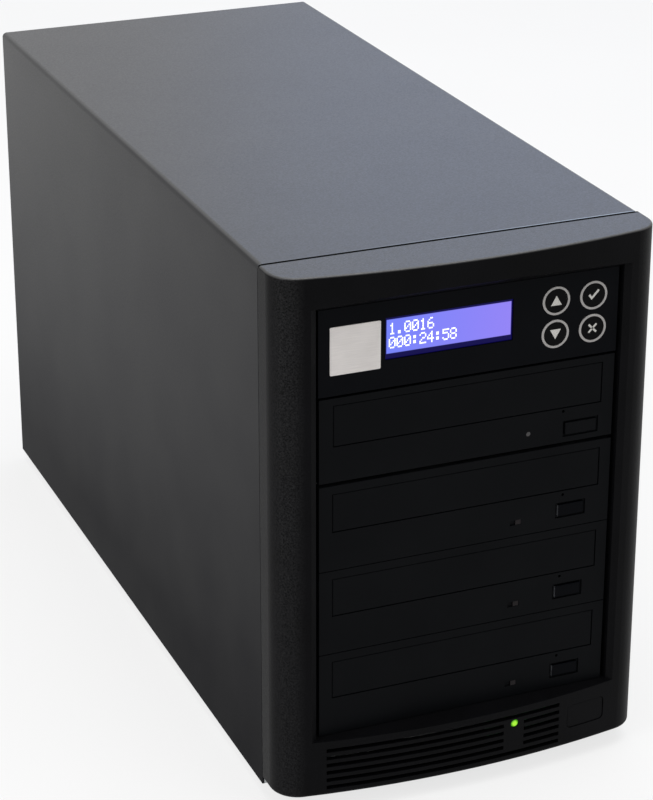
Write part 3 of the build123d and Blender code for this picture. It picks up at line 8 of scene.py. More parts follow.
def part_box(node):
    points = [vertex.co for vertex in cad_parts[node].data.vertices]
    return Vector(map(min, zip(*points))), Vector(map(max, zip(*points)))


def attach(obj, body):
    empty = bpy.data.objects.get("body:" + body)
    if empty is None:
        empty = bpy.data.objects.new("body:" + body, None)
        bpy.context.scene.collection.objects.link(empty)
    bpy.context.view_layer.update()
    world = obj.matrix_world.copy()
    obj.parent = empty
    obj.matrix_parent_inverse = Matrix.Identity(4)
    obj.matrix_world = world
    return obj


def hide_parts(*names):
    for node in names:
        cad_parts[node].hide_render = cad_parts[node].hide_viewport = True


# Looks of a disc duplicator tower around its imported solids. Metres, in the solids' own frame:
# X to the right of someone facing the front, Y from front to back, Z up.

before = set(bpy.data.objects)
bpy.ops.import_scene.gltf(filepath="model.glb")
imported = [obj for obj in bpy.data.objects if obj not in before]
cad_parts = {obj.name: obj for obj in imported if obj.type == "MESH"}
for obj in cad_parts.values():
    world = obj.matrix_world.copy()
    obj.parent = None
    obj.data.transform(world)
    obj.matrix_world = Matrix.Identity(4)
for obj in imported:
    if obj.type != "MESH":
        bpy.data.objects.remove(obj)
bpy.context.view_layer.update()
MM = 0.001
NOISE = {"From Min": 0.3, "From Max": 0.7}  # span that the values of a noise fill
TWO_NOISES = {"From Min": 0.75, "From Max": 1.25}  # span of two noises added up


# ------------------------------------------------------------------ node helpers
def paint(code):
    """Linear colour of an sRGB hex value."""
    parts = np.array([int(code[i:i + 2], 16) for i in (1, 3, 5)]) / 255
    linear = np.where(parts <= 0.04045, parts / 12.92, ((parts + 0.055) / 1.055) ** 2.4)
    return (*linear.tolist(), 1.0)


def add(tree, kind, inputs=None, **settings):
    """Adds one node. Settings are its own properties. Inputs are values, other nodes' sockets,
    or other nodes, whose first output in use is then linked."""
    made = tree.nodes.new(kind)
    for key, value in settings.items():
        setattr(made, key, value)
    for key, value in (inputs or {}).items():
        if isinstance(value, bpy.types.Node):
            value = next(output for output in value.outputs if output.enabled)
        if isinstance(value, bpy.types.NodeSocket):
            tree.links.new(value, made.inputs[key])
        else:
            made.inputs[key].default_value = value
    return made


def new_material(name):
    """Empty material with its node tree."""
    material = bpy.data.materials.new(name)
    material.use_nodes = True
    material.node_tree.nodes.clear()
    return material


def close(material, shader):
    """Links a shader to the material's output."""
    add(material.node_tree, "ShaderNodeOutputMaterial", {"Surface": shader})
    return material


def per_metre(size_mm):
    """Texture scale at which one cell of the pattern measures size_mm."""
    return 1 / (size_mm * MM)


def grain(tree, size_mm, detail=2.0, stretch=(1, 1, 1)):
    """Noise on object coordinates with cells of size_mm, stretched along the axes."""
    place = add(tree, "ShaderNodeTexCoord").outputs["Object"]
    sized = add(tree, "ShaderNodeMapping", {"Vector": place, "Scale": stretch})
    settings = {"Vector": sized, "Scale": per_metre(size_mm), "Detail": detail}
    return add(tree, "ShaderNodeTexNoise", settings)


def about(tree, point):
    """Object coordinates, counted from a point."""
    place = add(tree, "ShaderNodeTexCoord").outputs["Object"]
    return add(tree, "ShaderNodeMapping", {"Vector": place, "Location": (-point).tolist()})


def two_tones(tree, dark, light, pits, drift):
    """Colour between two, by the grain and a slow drift added up."""
    both = add(tree, "ShaderNodeMath", {0: pits, 1: drift}, operation="ADD")
    share = add(tree, "ShaderNodeMapRange", {"Value": both, **TWO_NOISES})
    colours = {0: share, 6: paint(dark), 7: paint(light)}
    return add(tree, "ShaderNodeMix", colours, data_type="RGBA")


def product(tree, first, *others):
    """Masks multiplied: 1 only where all of them are 1."""
    for other in others:
        first = add(tree, "ShaderNodeMath", {0: first, 1: other}, operation="MULTIPLY")
    return first


def relief(tree, height, depth_mm, edge_mm):
    """Bump of that depth over edges that are rounded by edge_mm."""
    inputs = {"Height": height, "Distance": depth_mm * MM}
    if edge_mm:
        inputs["Normal"] = add(tree, "ShaderNodeBevel", {"Radius": edge_mm * MM}, samples=4)
    return add(tree, "ShaderNodeBump", inputs)


def facing_up(tree):
    """1 on faces that look up, 0 on upright ones."""
    normal = add(tree, "ShaderNodeNewGeometry").outputs["True Normal"]
    upward = add(tree, "ShaderNodeSeparateXYZ", {0: normal}).outputs["Z"]
    return add(tree, "ShaderNodeMapRange", {"Value": upward, "From Min": 0.3, "From Max": 0.9})


def finish(
    name, dark, light, size_mm, depth_mm, rough, specular=0.5, metallic=0.0, edge_mm=0.25
):
    """Opaque finish: two tones mixed by the grain and a drift over 35 mm, a grain of size_mm
    pressed depth_mm deep, roughness that follows the grain, and edges rounded by edge_mm."""
    material = new_material(name)
    tree = material.node_tree
    pits = grain(tree, size_mm, 3.0)
    uneven = {"Value": pits, **NOISE, "To Min": rough[0], "To Max": rough[1]}
    inputs = {
        "Base Color": two_tones(tree, dark, light, pits, grain(tree, 35.0)),
        "Roughness": add(tree, "ShaderNodeMapRange", uneven),
        "Specular IOR Level": specular,
        "Metallic": metallic,
        "Normal": relief(tree, pits, depth_mm, edge_mm),
    }
    return close(material, add(tree, "ShaderNodeBsdfPrincipled", inputs))


# ------------------------------------------------------------------ materials
def powder_coat():
    """Powder coat on sheet steel: dark grey with a fine orange-peel grain. A matt coat and a
    polished one are mixed: the top is polished all over, and on the sides the reflection is
    painted, more the higher and the farther back, so that they are painted darker low down and
    at the front. A pale highlight is painted along the top's front edge, stronger to the right."""
    material = new_material("powder_coated_steel")
    tree = material.node_tree
    place = add(tree, "ShaderNodeTexCoord").outputs["Object"]
    across, depth, height = add(tree, "ShaderNodeSeparateXYZ", {0: place}).outputs

    # shares of the polished coat, a painted reflection on the sides: at the front and at the back,
    # low on the side and then high on it
    along = {"Value": depth, "From Min": -190 * MM, "From Max": 220 * MM}
    backward = add(tree, "ShaderNodeMapRange", along)
    low_down, high_up = (
        add(tree, "ShaderNodeMapRange", {"Value": backward, "To Min": front, "To Max": back})
        for front, back in ((0.04, 0.18), (0.34, 0.78))
    )
    upwards = {"Value": height, "From Min": 30 * MM, "From Max": 250 * MM}
    upwards |= {"To Min": low_down, "To Max": high_up}
    side = add(tree, "ShaderNodeMapRange", upwards)
    to_top = {"Value": facing_up(tree), "From Min": 0.6, "To Min": side}
    gloss_share_and_painted_shade = add(tree, "ShaderNodeMapRange", to_top)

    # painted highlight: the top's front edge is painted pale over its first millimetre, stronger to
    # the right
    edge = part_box("cover_shell")[0][1]
    lip = {"Value": depth, "From Min": edge + 0.7 * MM, "From Max": edge + 1.0 * MM}
    lip |= {"To Min": 1, "To Max": 0}
    rightward = {"Value": across, "From Min": -60 * MM, "From Max": 70 * MM, "To Min": 0.1}
    ahead, right = (add(tree, "ShaderNodeMapRange", mask) for mask in (lip, rightward))
    painted_edge_highlight = product(tree, ahead, facing_up(tree), right)

    peel = grain(tree, 0.9, 3.0)
    coat = two_tones(tree, "#222224", "#2a2a2b", peel, grain(tree, 45.0))
    # pale bluish grey of the painted edge highlight
    colours = {0: painted_edge_highlight, 6: coat, 7: paint("#7d8894")}
    uneven = {"Value": peel, **NOISE, "To Min": 0.34, "To Max": 0.46}
    inputs = {
        "Base Color": add(tree, "ShaderNodeMix", colours, data_type="RGBA"),
        "Roughness": add(tree, "ShaderNodeMapRange", uneven),
        "Normal": relief(tree, peel, 0.035, 0.4),
        "Specular IOR Level": 0.0,
    }
    # the matt coat has no reflection: where it is mixed in, low on the sides and at the front, it
    # paints them darker, a painted shade
    matt = add(tree, "ShaderNodeBsdfPrincipled", inputs)
    inputs["Specular IOR Level"] = 0.55
    polished = add(tree, "ShaderNodeBsdfPrincipled", inputs)
    return close(material, add(tree, "ShaderNodeMixShader", {0: gloss_share_and_painted_shade, 1: matt, 2: polished}))


def spark_abs():
    """Spark-textured ABS moulding: black with a fine matt grain. Its top faces are far glossier
    than the front, a painted sheen, except over the back edge, from about 2 mm before the cover's
    front edge, where the gloss is taken away to paint a dark seam line, a painted shade. On the
    round upright corners the gloss is raised in speckles by the grain, a painted highlight, the
    more on the left and high up."""
    material = new_material("spark_textured_abs")
    tree = material.node_tree
    pits = grain(tree, 0.7, 3.0)
    place = add(tree, "ShaderNodeTexCoord").outputs["Object"]
    across, depth, height = add(tree, "ShaderNodeSeparateXYZ", {0: place}).outputs
    reach = add(tree, "ShaderNodeMath", {0: across}, operation="ABSOLUTE")

    # painted highlight: speckled gloss on the round upright corners
    masks = (
        # the corners turn from 80 mm to 93 mm off the middle
        {"Value": reach, "From Min": 80.5 * MM, "From Max": 86 * MM},
        {"Value": reach, "From Min": 90.5 * MM, "From Max": 93.2 * MM, "To Min": 1, "To Max": 0.15},
        # less on the right, and less low down
        {"Value": across, "From Min": -50 * MM, "From Max": 50 * MM, "To Min": 1, "To Max": 0.3},
        {"Value": height, "From Min": 40 * MM, "From Max": 250 * MM, "To Min": 0.65},
    )
    corner = product(tree, *(add(tree, "ShaderNodeMapRange", mask) for mask in masks))
    painted_glint_range = {"Value": pits, "From Min": 0.35, "From Max": 0.7, "To Min": 0.05, "To Max": 0.22}
    painted_glints = add(tree, "ShaderNodeMapRange", painted_glint_range)
    upright = add(tree, "ShaderNodeMapRange", {"Value": corner, "To Min": 0.04, "To Max": painted_glints})

    # painted sheen: the outer top gets a gloss of 0.85; painted shade: no gloss over its back edge,
    # from about 2 mm before the cover's front edge, which paints a dark seam line
    highest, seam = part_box("front_bezel")[1][2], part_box("cover_shell")[0][1]
    outside = {"Value": height, "From Min": highest - 1.4 * MM, "From Max": highest - 0.6 * MM}
    top = product(tree, facing_up(tree), add(tree, "ShaderNodeMapRange", outside))
    ahead = {"Value": depth, "From Min": seam - 2.1 * MM, "From Max": seam - 1.8 * MM}
    ahead |= {"To Min": 1, "To Max": 0}
    painted_sheen_and_seam_shade = {"Value": add(tree, "ShaderNodeMapRange", ahead), "To Max": 0.85}
    gloss = add(tree, "ShaderNodeMapRange", painted_sheen_and_seam_shade)
    inputs = {
        "Base Color": two_tones(tree, "#080809", "#0d0d0f", pits, grain(tree, 35.0)),
        "Roughness": add(
            tree, "ShaderNodeMapRange", {"Value": pits, **NOISE, "To Min": 0.36, "To Max": 0.5}
        ),
        "Specular IOR Level": add(
            tree, "ShaderNodeMapRange", {"Value": top, "To Min": upright, "To Max": gloss}
        ),
        "Normal": relief(tree, pits, 0.09, 0.25),
    }
    return close(material, add(tree, "ShaderNodeBsdfPrincipled", inputs))


def spangled_zinc():
    """Hot-dip galvanised sheet: crystal flakes of about 9 mm, each with its own grey and gloss."""
    material = new_material("galvanised_steel")
    tree = material.node_tree
    place = add(tree, "ShaderNodeTexCoord").outputs["Object"]
    flakes = add(tree, "ShaderNodeTexVoronoi", {"Vector": place, "Scale": per_metre(9.0)})
    tone = add(tree, "ShaderNodeSeparateColor", {0: flakes.outputs["Color"]})
    colours = {0: tone, 6: paint("#8f9293"), 7: paint("#b4b7b8")}
    inputs = {
        "Base Color": add(tree, "ShaderNodeMix", colours, data_type="RGBA"),
        "Roughness": add(
            tree, "ShaderNodeMapRange", {"Value": tone, "To Min": 0.3, "To Max": 0.5}
        ),
        "Metallic": 1.0,
        "Normal": relief(tree, grain(tree, 2.5), 0.02, 0.3),
    }
    return close(material, add(tree, "ShaderNodeBsdfPrincipled", inputs))


def brushed_plate():
    """Anodised badge plate: pale silver, brushed along X in hairlines, faintly clouded."""
    material = new_material("brushed_anodised_plate")
    tree = material.node_tree
    hairlines = grain(tree, 0.35, 2.0, (0.04, 1, 1))
    inputs = {
        "Base Color": two_tones(tree, "#d4cfcc", "#e0dbd8", hairlines, grain(tree, 14.0)),
        "Roughness": add(
            tree, "ShaderNodeMapRange", {"Value": hairlines, **NOISE, "To Min": 0.35, "To Max": 0.5}
        ),
        "Specular IOR Level": 0.3,
        "Normal": relief(tree, hairlines, 0.01, 0.15),
    }
    return close(material, add(tree, "ShaderNodeBsdfPrincipled", inputs))


def lit_display():
    """Face of a backlit display: a deep blue border, and inside it a lit field that drifts from
    blue on the left to violet on the right."""
    low, high = (np.array(corner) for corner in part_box("lcd_glass"))
    material = new_material("backlit_display")
    tree = material.node_tree
    centred = about(tree, (low + high) / 2)
    across, _, up = add(tree, "ShaderNodeSeparateXYZ", {0: centred}).outputs
    inside = []
    # middle and half size of the lit field, across and upwards
    for value, centre, half in ((across, 0, 30.3 * MM), (up, 0.7 * MM, 8.0 * MM)):
        moved = add(tree, "ShaderNodeMath", {0: value, 1: centre}, operation="SUBTRACT")
        reach = add(tree, "ShaderNodeMath", {0: moved}, operation="ABSOLUTE")
        border = {"Value": reach, "From Min": half - 0.15 * MM, "From Max": half + 0.15 * MM}
        border |= {"To Min": 1, "To Max": 0}
        inside.append(add(tree, "ShaderNodeMapRange", border))
    drift = {"Value": across, "From Min": -30 * MM, "From Max": 30 * MM}
    shades = {0: add(tree, "ShaderNodeMapRange", drift), 6: paint("#7684fb"), 7: paint("#9384f6")}
    lit = add(tree, "ShaderNodeMix", shades, data_type="RGBA")
    glow = {0: product(tree, *inside), 6: paint("#08034a"), 7: lit}
    uneven = {"Value": grain(tree, 4.0), **NOISE, "To Min": 0.16, "To Max": 0.24}
    inputs = {
        "Base Color": paint("#05030f"),
        "Roughness": add(tree, "ShaderNodeMapRange", uneven),
        "Specular IOR Level": 0.08,
        "Emission Color": add(tree, "ShaderNodeMix", glow, data_type="RGBA"),
        "Emission Strength": 1.0,
    }
    return close(material, add(tree, "ShaderNodeBsdfPrincipled", inputs))


def light_pipe():
    """Acrylic light pipe of the power lamp: a bright yellow-green core in a darker green rim, lit
    only over its front 2 mm; the rest of the pipe is dull green."""
    low, high = (np.array(corner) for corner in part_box("power_lens"))
    middle = (low + high) / 2
    middle[1] = low[1]
    material = new_material("lit_green_acrylic")
    tree = material.node_tree
    centred = about(tree, middle)
    depth = add(tree, "ShaderNodeSeparateXYZ", {0: centred}).outputs["Y"]
    flat = add(tree, "ShaderNodeVectorMath", {0: centred, 1: (1, 0, 1)}, operation="MULTIPLY")
    radius = add(tree, "ShaderNodeVectorMath", {0: flat}, operation="LENGTH")
    uneven = {"Value": grain(tree, 1.5), **NOISE, "To Min": -0.1 * MM, "To Max": 0.1 * MM}
    wobble = add(tree, "ShaderNodeMapRange", uneven)
    wavy = add(tree, "ShaderNodeMath", {0: radius, 1: wobble}, operation="ADD")
    inner = {"Value": wavy, "From Min": 0.9 * MM, "From Max": 1.7 * MM, "To Min": 1, "To Max": 0}
    core = add(tree, "ShaderNodeMapRange", inner)
    colours = {0: core, 6: paint("#3f8a12"), 7: paint("#a6ec2c")}
    ahead = {"Value": depth, "From Min": 1.5 * MM, "From Max": 2.0 * MM, "To Min": 1, "To Max": 0}
    inputs = {
        "Base Color": paint("#2c5a10"),
        "Roughness": add(
            tree, "ShaderNodeMapRange", {"Value": core, "To Min": 0.3, "To Max": 0.2}
        ),
        "Specular IOR Level": 0.3,
        "Emission Color": add(tree, "ShaderNodeMix", colours, data_type="RGBA"),
        "Emission Strength": add(tree, "ShaderNodeMapRange", ahead),
    }
    return close(material, add(tree, "ShaderNodeBsdfPrincipled", inputs))


def lit_dots():
    """Lit dots of the display: their own light drifts between two bluish whites over 6 mm."""
    material = new_material("lit_display_dots")
    tree = material.node_tree
    tone = add(tree, "ShaderNodeMapRange", {"Value": grain(tree, 6.0), **NOISE})
    colours = {0: tone, 6: paint("#dfe4ff"), 7: paint("#f3f4ff")}
    light = add(tree, "ShaderNodeMix", colours, data_type="RGBA")
    inputs = {
        "Base Color": light,
        "Roughness": add(
            tree, "ShaderNodeMapRange", {"Value": tone, "To Min": 0.2, "To Max": 0.3}
        ),
        "Emission Color": light,
        "Emission Strength": 0.95,
    }
    return close(material, add(tree, "ShaderNodeBsdfPrincipled", inputs))


def smoked_windows():
    """Smoked acrylic of the drives' lamp windows: nearly black and glossy. The reading drive's
    window, the highest, is the glossier."""
    material = new_material("smoked_acrylic")
    tree = material.node_tree
    place = add(tree, "ShaderNodeTexCoord").outputs["Object"]
    height = add(tree, "ShaderNodeSeparateXYZ", {0: place}).outputs["Z"]
    reader_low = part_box("reader_front")[0][2]
    gloss = {"Value": height, "From Min": reader_low - MM, "From Max": reader_low}
    gloss |= {"To Min": 0.13, "To Max": 0.7}
    streaks = grain(tree, 1.0, 3.0)
    tone = add(tree, "ShaderNodeMapRange", {"Value": streaks, **NOISE})
    colours = {0: tone, 6: paint("#120e10"), 7: paint("#1c1618")}
    uneven = {"Value": streaks, **NOISE, "To Min": 0.12, "To Max": 0.2}
    inputs = {
        "Base Color": add(tree, "ShaderNodeMix", colours, data_type="RGBA"),
        "Roughness": add(tree, "ShaderNodeMapRange", uneven),
        "Specular IOR Level": add(tree, "ShaderNodeMapRange", gloss),
        "Normal": relief(tree, streaks, 0.005, 0.1),
    }
    return close(material, add(tree, "ShaderNodeBsdfPrincipled", inputs))


def eject_abs():
    """ABS of the writing drives' eject buttons: nearly black and smooth, with a painted highlight:
    pale spots painted over the left end."""
    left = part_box("writer_1_eject")[0][0]
    material = new_material("polished_black_abs")
    tree = material.node_tree
    place = add(tree, "ShaderNodeTexCoord").outputs["Object"]
    across = add(tree, "ShaderNodeSeparateXYZ", {0: place}).outputs["X"]
    # painted highlight: pale spots over the first millimetre of the left end
    end = {"Value": across, "From Min": left + 0.5 * MM, "From Max": left + 1.0 * MM}
    end |= {"To Min": 1, "To Max": 0}
    spots = {"Value": grain(tree, 1.5), **NOISE, "To Min": 0.25}
    painted_end_highlight = product(tree, *(add(tree, "ShaderNodeMapRange", mask) for mask in (end, spots)))
    colours = {0: painted_end_highlight, 6: paint("#050609"), 7: paint("#7e8085")}
    pits = grain(tree, 0.5)
    uneven = {"Value": pits, **NOISE, "To Min": 0.3, "To Max": 0.42}
    inputs = {
        "Base Color": add(tree, "ShaderNodeMix", colours, data_type="RGBA"),
        "Roughness": add(tree, "ShaderNodeMapRange", uneven),
        "Specular IOR Level": 0.03,
        "Normal": relief(tree, pits, 0.02, 0.25),
    }
    return close(material, add(tree, "ShaderNodeBsdfPrincipled", inputs))


def solder_mask():
    """Circuit board: dark green lacquer over copper tracks that show as a slightly lighter net."""
    material = new_material("green_solder_mask")
    tree = material.node_tree
    place = add(tree, "ShaderNodeTexCoord").outputs["Object"]
    net = {"Vector": place, "Scale": per_metre(10.0), "Mortar Size": 0.03}
    tracks = add(tree, "ShaderNodeTexBrick", net).outputs["Fac"]
    colours = {0: tracks, 6: paint("#0f3a22"), 7: paint("#2c6a3d")}
    uneven = {"Value": grain(tree, 3.0), **NOISE, "To Min": 0.3, "To Max": 0.42}
    inputs = {
        "Base Color": add(tree, "ShaderNodeMix", colours, data_type="RGBA"),
        "Roughness": add(tree, "ShaderNodeMapRange", uneven),
        "Normal": relief(tree, tracks, 0.03, 0.2),
    }
    return close(material, add(tree, "ShaderNodeBsdfPrincipled", inputs))


cover_coat = powder_coat()
bezel_abs = spark_abs()
zinc = spangled_zinc()
badge_metal = brushed_plate()
display = lit_display()
lamp_acrylic = light_pipe()
display_dots = lit_dots()
smoke = smoked_windows()
button_abs = eject_abs()
board = solder_mask()
# ABS of the drive fronts: black with a fine even grain, a little smoother than the bezel
drive_abs = finish("fine_grained_abs", "#07080a", "#0b0c0e", 0.5, 0.03, (0.4, 0.5), 0.04)
# ABS of the control panel and of the rocker: black, satin
panel_abs = finish("satin_abs", "#07080b", "#0a0b0e", 0.4, 0.02, (0.36, 0.44), 0.03, edge_mm=0.2)
# silicone-lacquered ABS keys: flat black that swallows the light
key_abs = finish("lacquered_abs_keys", "#060607", "#0a0a0b", 0.5, 0.02, (0.5, 0.6), 0.05)
# moulded tray ABS: dark grey, dull
tray_abs = finish("dull_tray_abs", "#17181a", "#1f2022", 0.6, 0.03, (0.45, 0.6), 0.35)
# filled polycarbonate of the loader frames and the display's frame: dark, slightly shiny
loader_pc = finish("filled_polycarbonate", "#1d1e20", "#26272a", 1.2, 0.03, (0.4, 0.5), 0.4)
# acetal of the turntables: off-white, waxy
hub_pom = finish("acetal", "#8d8c88", "#a3a29d", 1.5, 0.02, (0.35, 0.45), 0.5)
# glass-filled polyester of the fans and the inlet: black, faintly streaked
fan_pbt = finish("glass_filled_pbt", "#101112", "#1a1b1d", 0.8, 0.03, (0.4, 0.5), 0.4)
# rubber of the feet: black and matt, with slightly paler clouds
rubber = finish("nitrile_rubber", "#121212", "#1c1b1a", 0.7, 0.05, (0.7, 0.85), 0.3)
# nickel-plated steel wire and screws: bright, faintly scratched
nickel = finish(
    "nickel_plated_steel", "#a9a7a2", "#bdbbb6", 0.8, 0.01, (0.22, 0.34), 0.5, 1.0, 0.1
)
# PVC jackets of the leads: smooth, slightly shiny
red_pvc = finish("red_pvc_jacket", "#5a100e", "#741815", 0.8, 0.02, (0.35, 0.45), 0.5)
black_pvc = finish("black_pvc_jacket", "#0e0e0f", "#171718", 0.8, 0.02, (0.35, 0.45), 0.5)
# screen-printed ink rings: pale grey, dull
ring_ink = finish("pale_grey_ink", "#9c9997", "#aaa7a5", 0.4, 0.01, (0.5, 0.6), 0.2, edge_mm=0.1)
# the same ink, fresher, for the marks on the keys
mark_ink = finish("white_ink", "#b9b7b2", "#cfcdc8", 0.4, 0.01, (0.5, 0.6), 0.3, edge_mm=0.0)

DRIVES = ("reader", "writer_1", "writer_2", "writer_3")
KEYS = ("key_up", "key_ok", "key_down", "key_esc")
NODE_FINISH = {
    "cover_shell": cover_coat,
    "front_bezel": bezel_abs,
    "power_button": bezel_abs,
    "control_panel": panel_abs,
    "key_rings": ring_ink,
    "badge_plate": badge_metal,
    "lcd_glass": display,
    "lcd_frame": loader_pc,
    "power_lens": lamp_acrylic,
    "drive_lenses": smoke,
    "chassis_base": zinc,
    "front_frame": zinc,
    "rear_panel": zinc,
    "drive_cage": zinc,
    "panel_bracket": zinc,
    "psu_housing": zinc,
    "psu_inlet": fan_pbt,
    "psu_rocker": panel_abs,
    "psu_fan_frame": fan_pbt,
    "case_fan_frame": fan_pbt,
    "psu_fan_rotor": fan_pbt,
    "case_fan_rotor": fan_pbt,
    "psu_fan_guard": nickel,
    "back_screws": nickel,
    "drive_screws": nickel,
    "feet": rubber,
    "panel_board": board,
    "switch_board": board,
    "controller_board": board,
    "data_cables": red_pvc,
    "power_harness": black_pvc,
    "loader_chassis": loader_pc,
}
NODE_FINISH |= {key: key_abs for key in KEYS}
for drive in DRIVES:
    NODE_FINISH |= {
        f"{drive}_shell": zinc,
        f"{drive}_front": drive_abs,
        f"{drive}_tray_front": drive_abs,
        f"{drive}_eject": drive_abs if drive == "reader" else button_abs,
        f"{drive}_tray": tray_abs,
        f"{drive}_spindle": hub_pom,
    }
for name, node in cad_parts.items():
    node.data.materials.clear()
    node.data.materials.append(NODE_FINISH[name])


# ------------------------------------------------------------------ mesh helpers
def add_piece(name, points, faces, material, body, smooth=False):
    """New piece from points (metres) and faces, which rides on a body."""
    mesh = bpy.data.meshes.new(name)
    mesh.from_pydata(points.tolist(), [], [list(face) for face in faces])
    mesh.polygons.foreach_set("use_smooth", np.full(len(mesh.polygons), smooth))
    mesh.materials.append(material)
    mesh.update()
    piece = bpy.data.objects.new(name, mesh)
    bpy.context.collection.objects.link(piece)
    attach(piece, body)


def plates(outlines, y_front, y_back):
    """Upright plates: every outline of (x, z) points, counter-clockwise seen from the front, is
    carried from y_front back to y_back, with a front, a back and a wall between them."""
    points = []
    faces = []
    for outline in outlines:
        count = len(outline)
        first = sum(len(block) for block in points)
        for y in (y_front, y_back):
            points.append(np.column_stack([outline[:, 0], np.full(count, y), outline[:, 1]]))
        front = np.arange(first, first + count)
        back = front + count
        faces += [front.tolist(), back[::-1].tolist()]
        after = np.roll(front, -1)
        walls = np.column_stack([after, front, front + count, after + count])
        faces += walls.tolist()
    return np.vstack(points), faces


def surface(grid, close_rows):
    """Faces over a grid of points that closes on itself along its second direction. The first
    direction closes too, or else its first and last rows are capped. Faces look outwards."""
    rows, columns = grid.shape[:2]
    points = grid.reshape(-1, 3)
    index = np.arange(rows * columns).reshape(rows, columns)
    upper = np.roll(index, -1, 0) if close_rows else index[1:]
    lower = index if close_rows else index[:-1]
    corners = [lower, np.roll(lower, -1, 1), np.roll(upper, -1, 1), upper]
    faces = np.stack(corners, -1).reshape(-1, 4)
    centred = points - points.mean(0)
    a, b, c, d = (centred[faces[:, k]] for k in range(4))
    inward = np.einsum("ij,ij->", a, np.cross(b, c) + np.cross(c, d)) < 0
    faces = faces.tolist()
    if not close_rows:
        faces += [index[0, ::-1].tolist(), index[-1].tolist()]
    if inward:
        faces = [face[::-1] for face in faces]
    return points, faces


def joined(parts):
    """Several sets of points and faces as one."""
    points = []
    faces = []
    for part_points, part_faces in parts:
        first = sum(len(block) for block in points)
        points.append(part_points)
        faces += [[corner + first for corner in face] for face in part_faces]
    return np.vstack(points), faces


def turned_ring(centre, profile, sides=64):
    """Ring about an axis along Y: a closed profile of (radius, depth) points is carried round
    the centre, P(i, a) = centre + (r_i cos a, y_i, r_i sin a)."""
    angle = np.linspace(0, 2 * math.pi, sides, endpoint=False)
    radius, depth = profile.T
    across, up = np.outer(radius, np.cos(angle)), np.outer(radius, np.sin(angle))
    grid = np.stack([across, np.outer(depth, np.ones(sides)), up], -1)
    return surface(grid + centre, True)


WIRE_TURN = np.linspace(0, 2 * math.pi, 10, endpoint=False)  # angles of the points round a wire


def round_wire_ring(centre, ring_radius, wire_radius, sides=64):
    """Ring of round wire: the profile is a circle about the ring's radius."""
    circle = np.column_stack([np.cos(WIRE_TURN), np.sin(WIRE_TURN)]) * wire_radius
    return turned_ring(centre, circle + (ring_radius, 0), sides)


def straight_wire(start, end, radius):
    """Round wire between two points: a circle about each of them, P(i, a) = point_i +
    radius (cos a side + sin a up)."""
    along = (end - start) / np.linalg.norm(end - start)
    side = np.cross(along, (0, 1, 0))
    up = np.cross(side, along)
    turn = WIRE_TURN[:, None]
    circle = (np.cos(turn) * side + np.sin(turn) * up) * radius
    return surface(np.stack([start + circle, end + circle]), False)


def node_middle(node):
    """Middle of a node's box, and its front depth."""
    low, high = (np.array(corner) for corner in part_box(node))
    return (low + high) / 2, low[1]


PROUD = 0.04 * MM  # ink stands this far off the face that it is printed on


# ------------------------------------------------------------------ marks on the keys
def turned(outline, degrees):
    """Outline turned about its origin."""
    angle = math.radians(degrees)
    rotation = np.array([[math.cos(angle), math.sin(angle)], [-math.sin(angle), math.cos(angle)]])
    return outline @ rotation


def bar(length, width):
    """Straight stroke along X, about the origin."""
    half = np.array([length, width]) / 2
    return np.array([[-1, -1], [1, -1], [1, 1], [-1, 1]]) * half


# outlines in mm, about the middle of a key
arrow = np.array([[-2.7, -2.2], [2.7, -2.2], [0, 2.5]])
tick = np.array([[-2.7, 0.1], [-1.0, -2.1], [2.9, 2.0], [2.1, 2.7], [-1.0, -0.6], [-1.9, 0.8]])
stroke = bar(5.6, 0.95)
KEY_MARKS = {
    "key_up": [arrow],
    "key_down": [turned(arrow, 180)],
    "key_ok": [tick],
    "key_esc": [turned(stroke, 45), turned(stroke, -45)],
}
for key, outlines in KEY_MARKS.items():
    middle, face_y = node_middle(key)
    placed = [outline * MM + middle[[0, 2]] for outline in outlines]
    depths = (face_y - PROUD, face_y + PROUD)
    add_piece(f"{key}_mark", *plates(placed, *depths), mark_ink, f"{key}_body")


# ------------------------------------------------------------------ rings round the keys
def flat_ring(key):
    """Flat ring round a key, its outer edge rounded by 0.1 mm."""
    middle, _ = node_middle(key)
    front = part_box("key_rings")[0][1]
    inner, outer, thick = 5.8, 6.85, 0.3  # mm
    edge = [(outer - 0.1, 0), (outer - 0.03, 0.03), (outer, 0.1)]
    profile = np.array([(inner, thick), (inner, 0), *edge, (outer, thick)]) * MM
    return turned_ring((middle[0], front, middle[2]), profile)


add_piece("printed_rings", *joined([flat_ring(key) for key in KEYS]), ring_ink, "root")
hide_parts("key_rings")


# ------------------------------------------------------------------ screws and guard at the back
def screw_places():
    """Middle of every screw of back_screws, at the depth of its outer end. The points of one
    screw are those that lie within its width of a first one."""
    screw_width = 7 * MM
    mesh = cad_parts["back_screws"].data
    points = np.empty(len(mesh.vertices) * 3)
    mesh.vertices.foreach_get("co", points)
    points = points.reshape(-1, 3)
    places = []
    while len(points):
        near = np.linalg.norm((points - points[0])[:, [0, 2]], axis=1) < screw_width
        own = points[near]
        places.append((own.min(0) + own.max(0)) / 2 * (1, 0, 1) + (0, own[:, 1].max(), 0))
        points = points[~near]
    return places


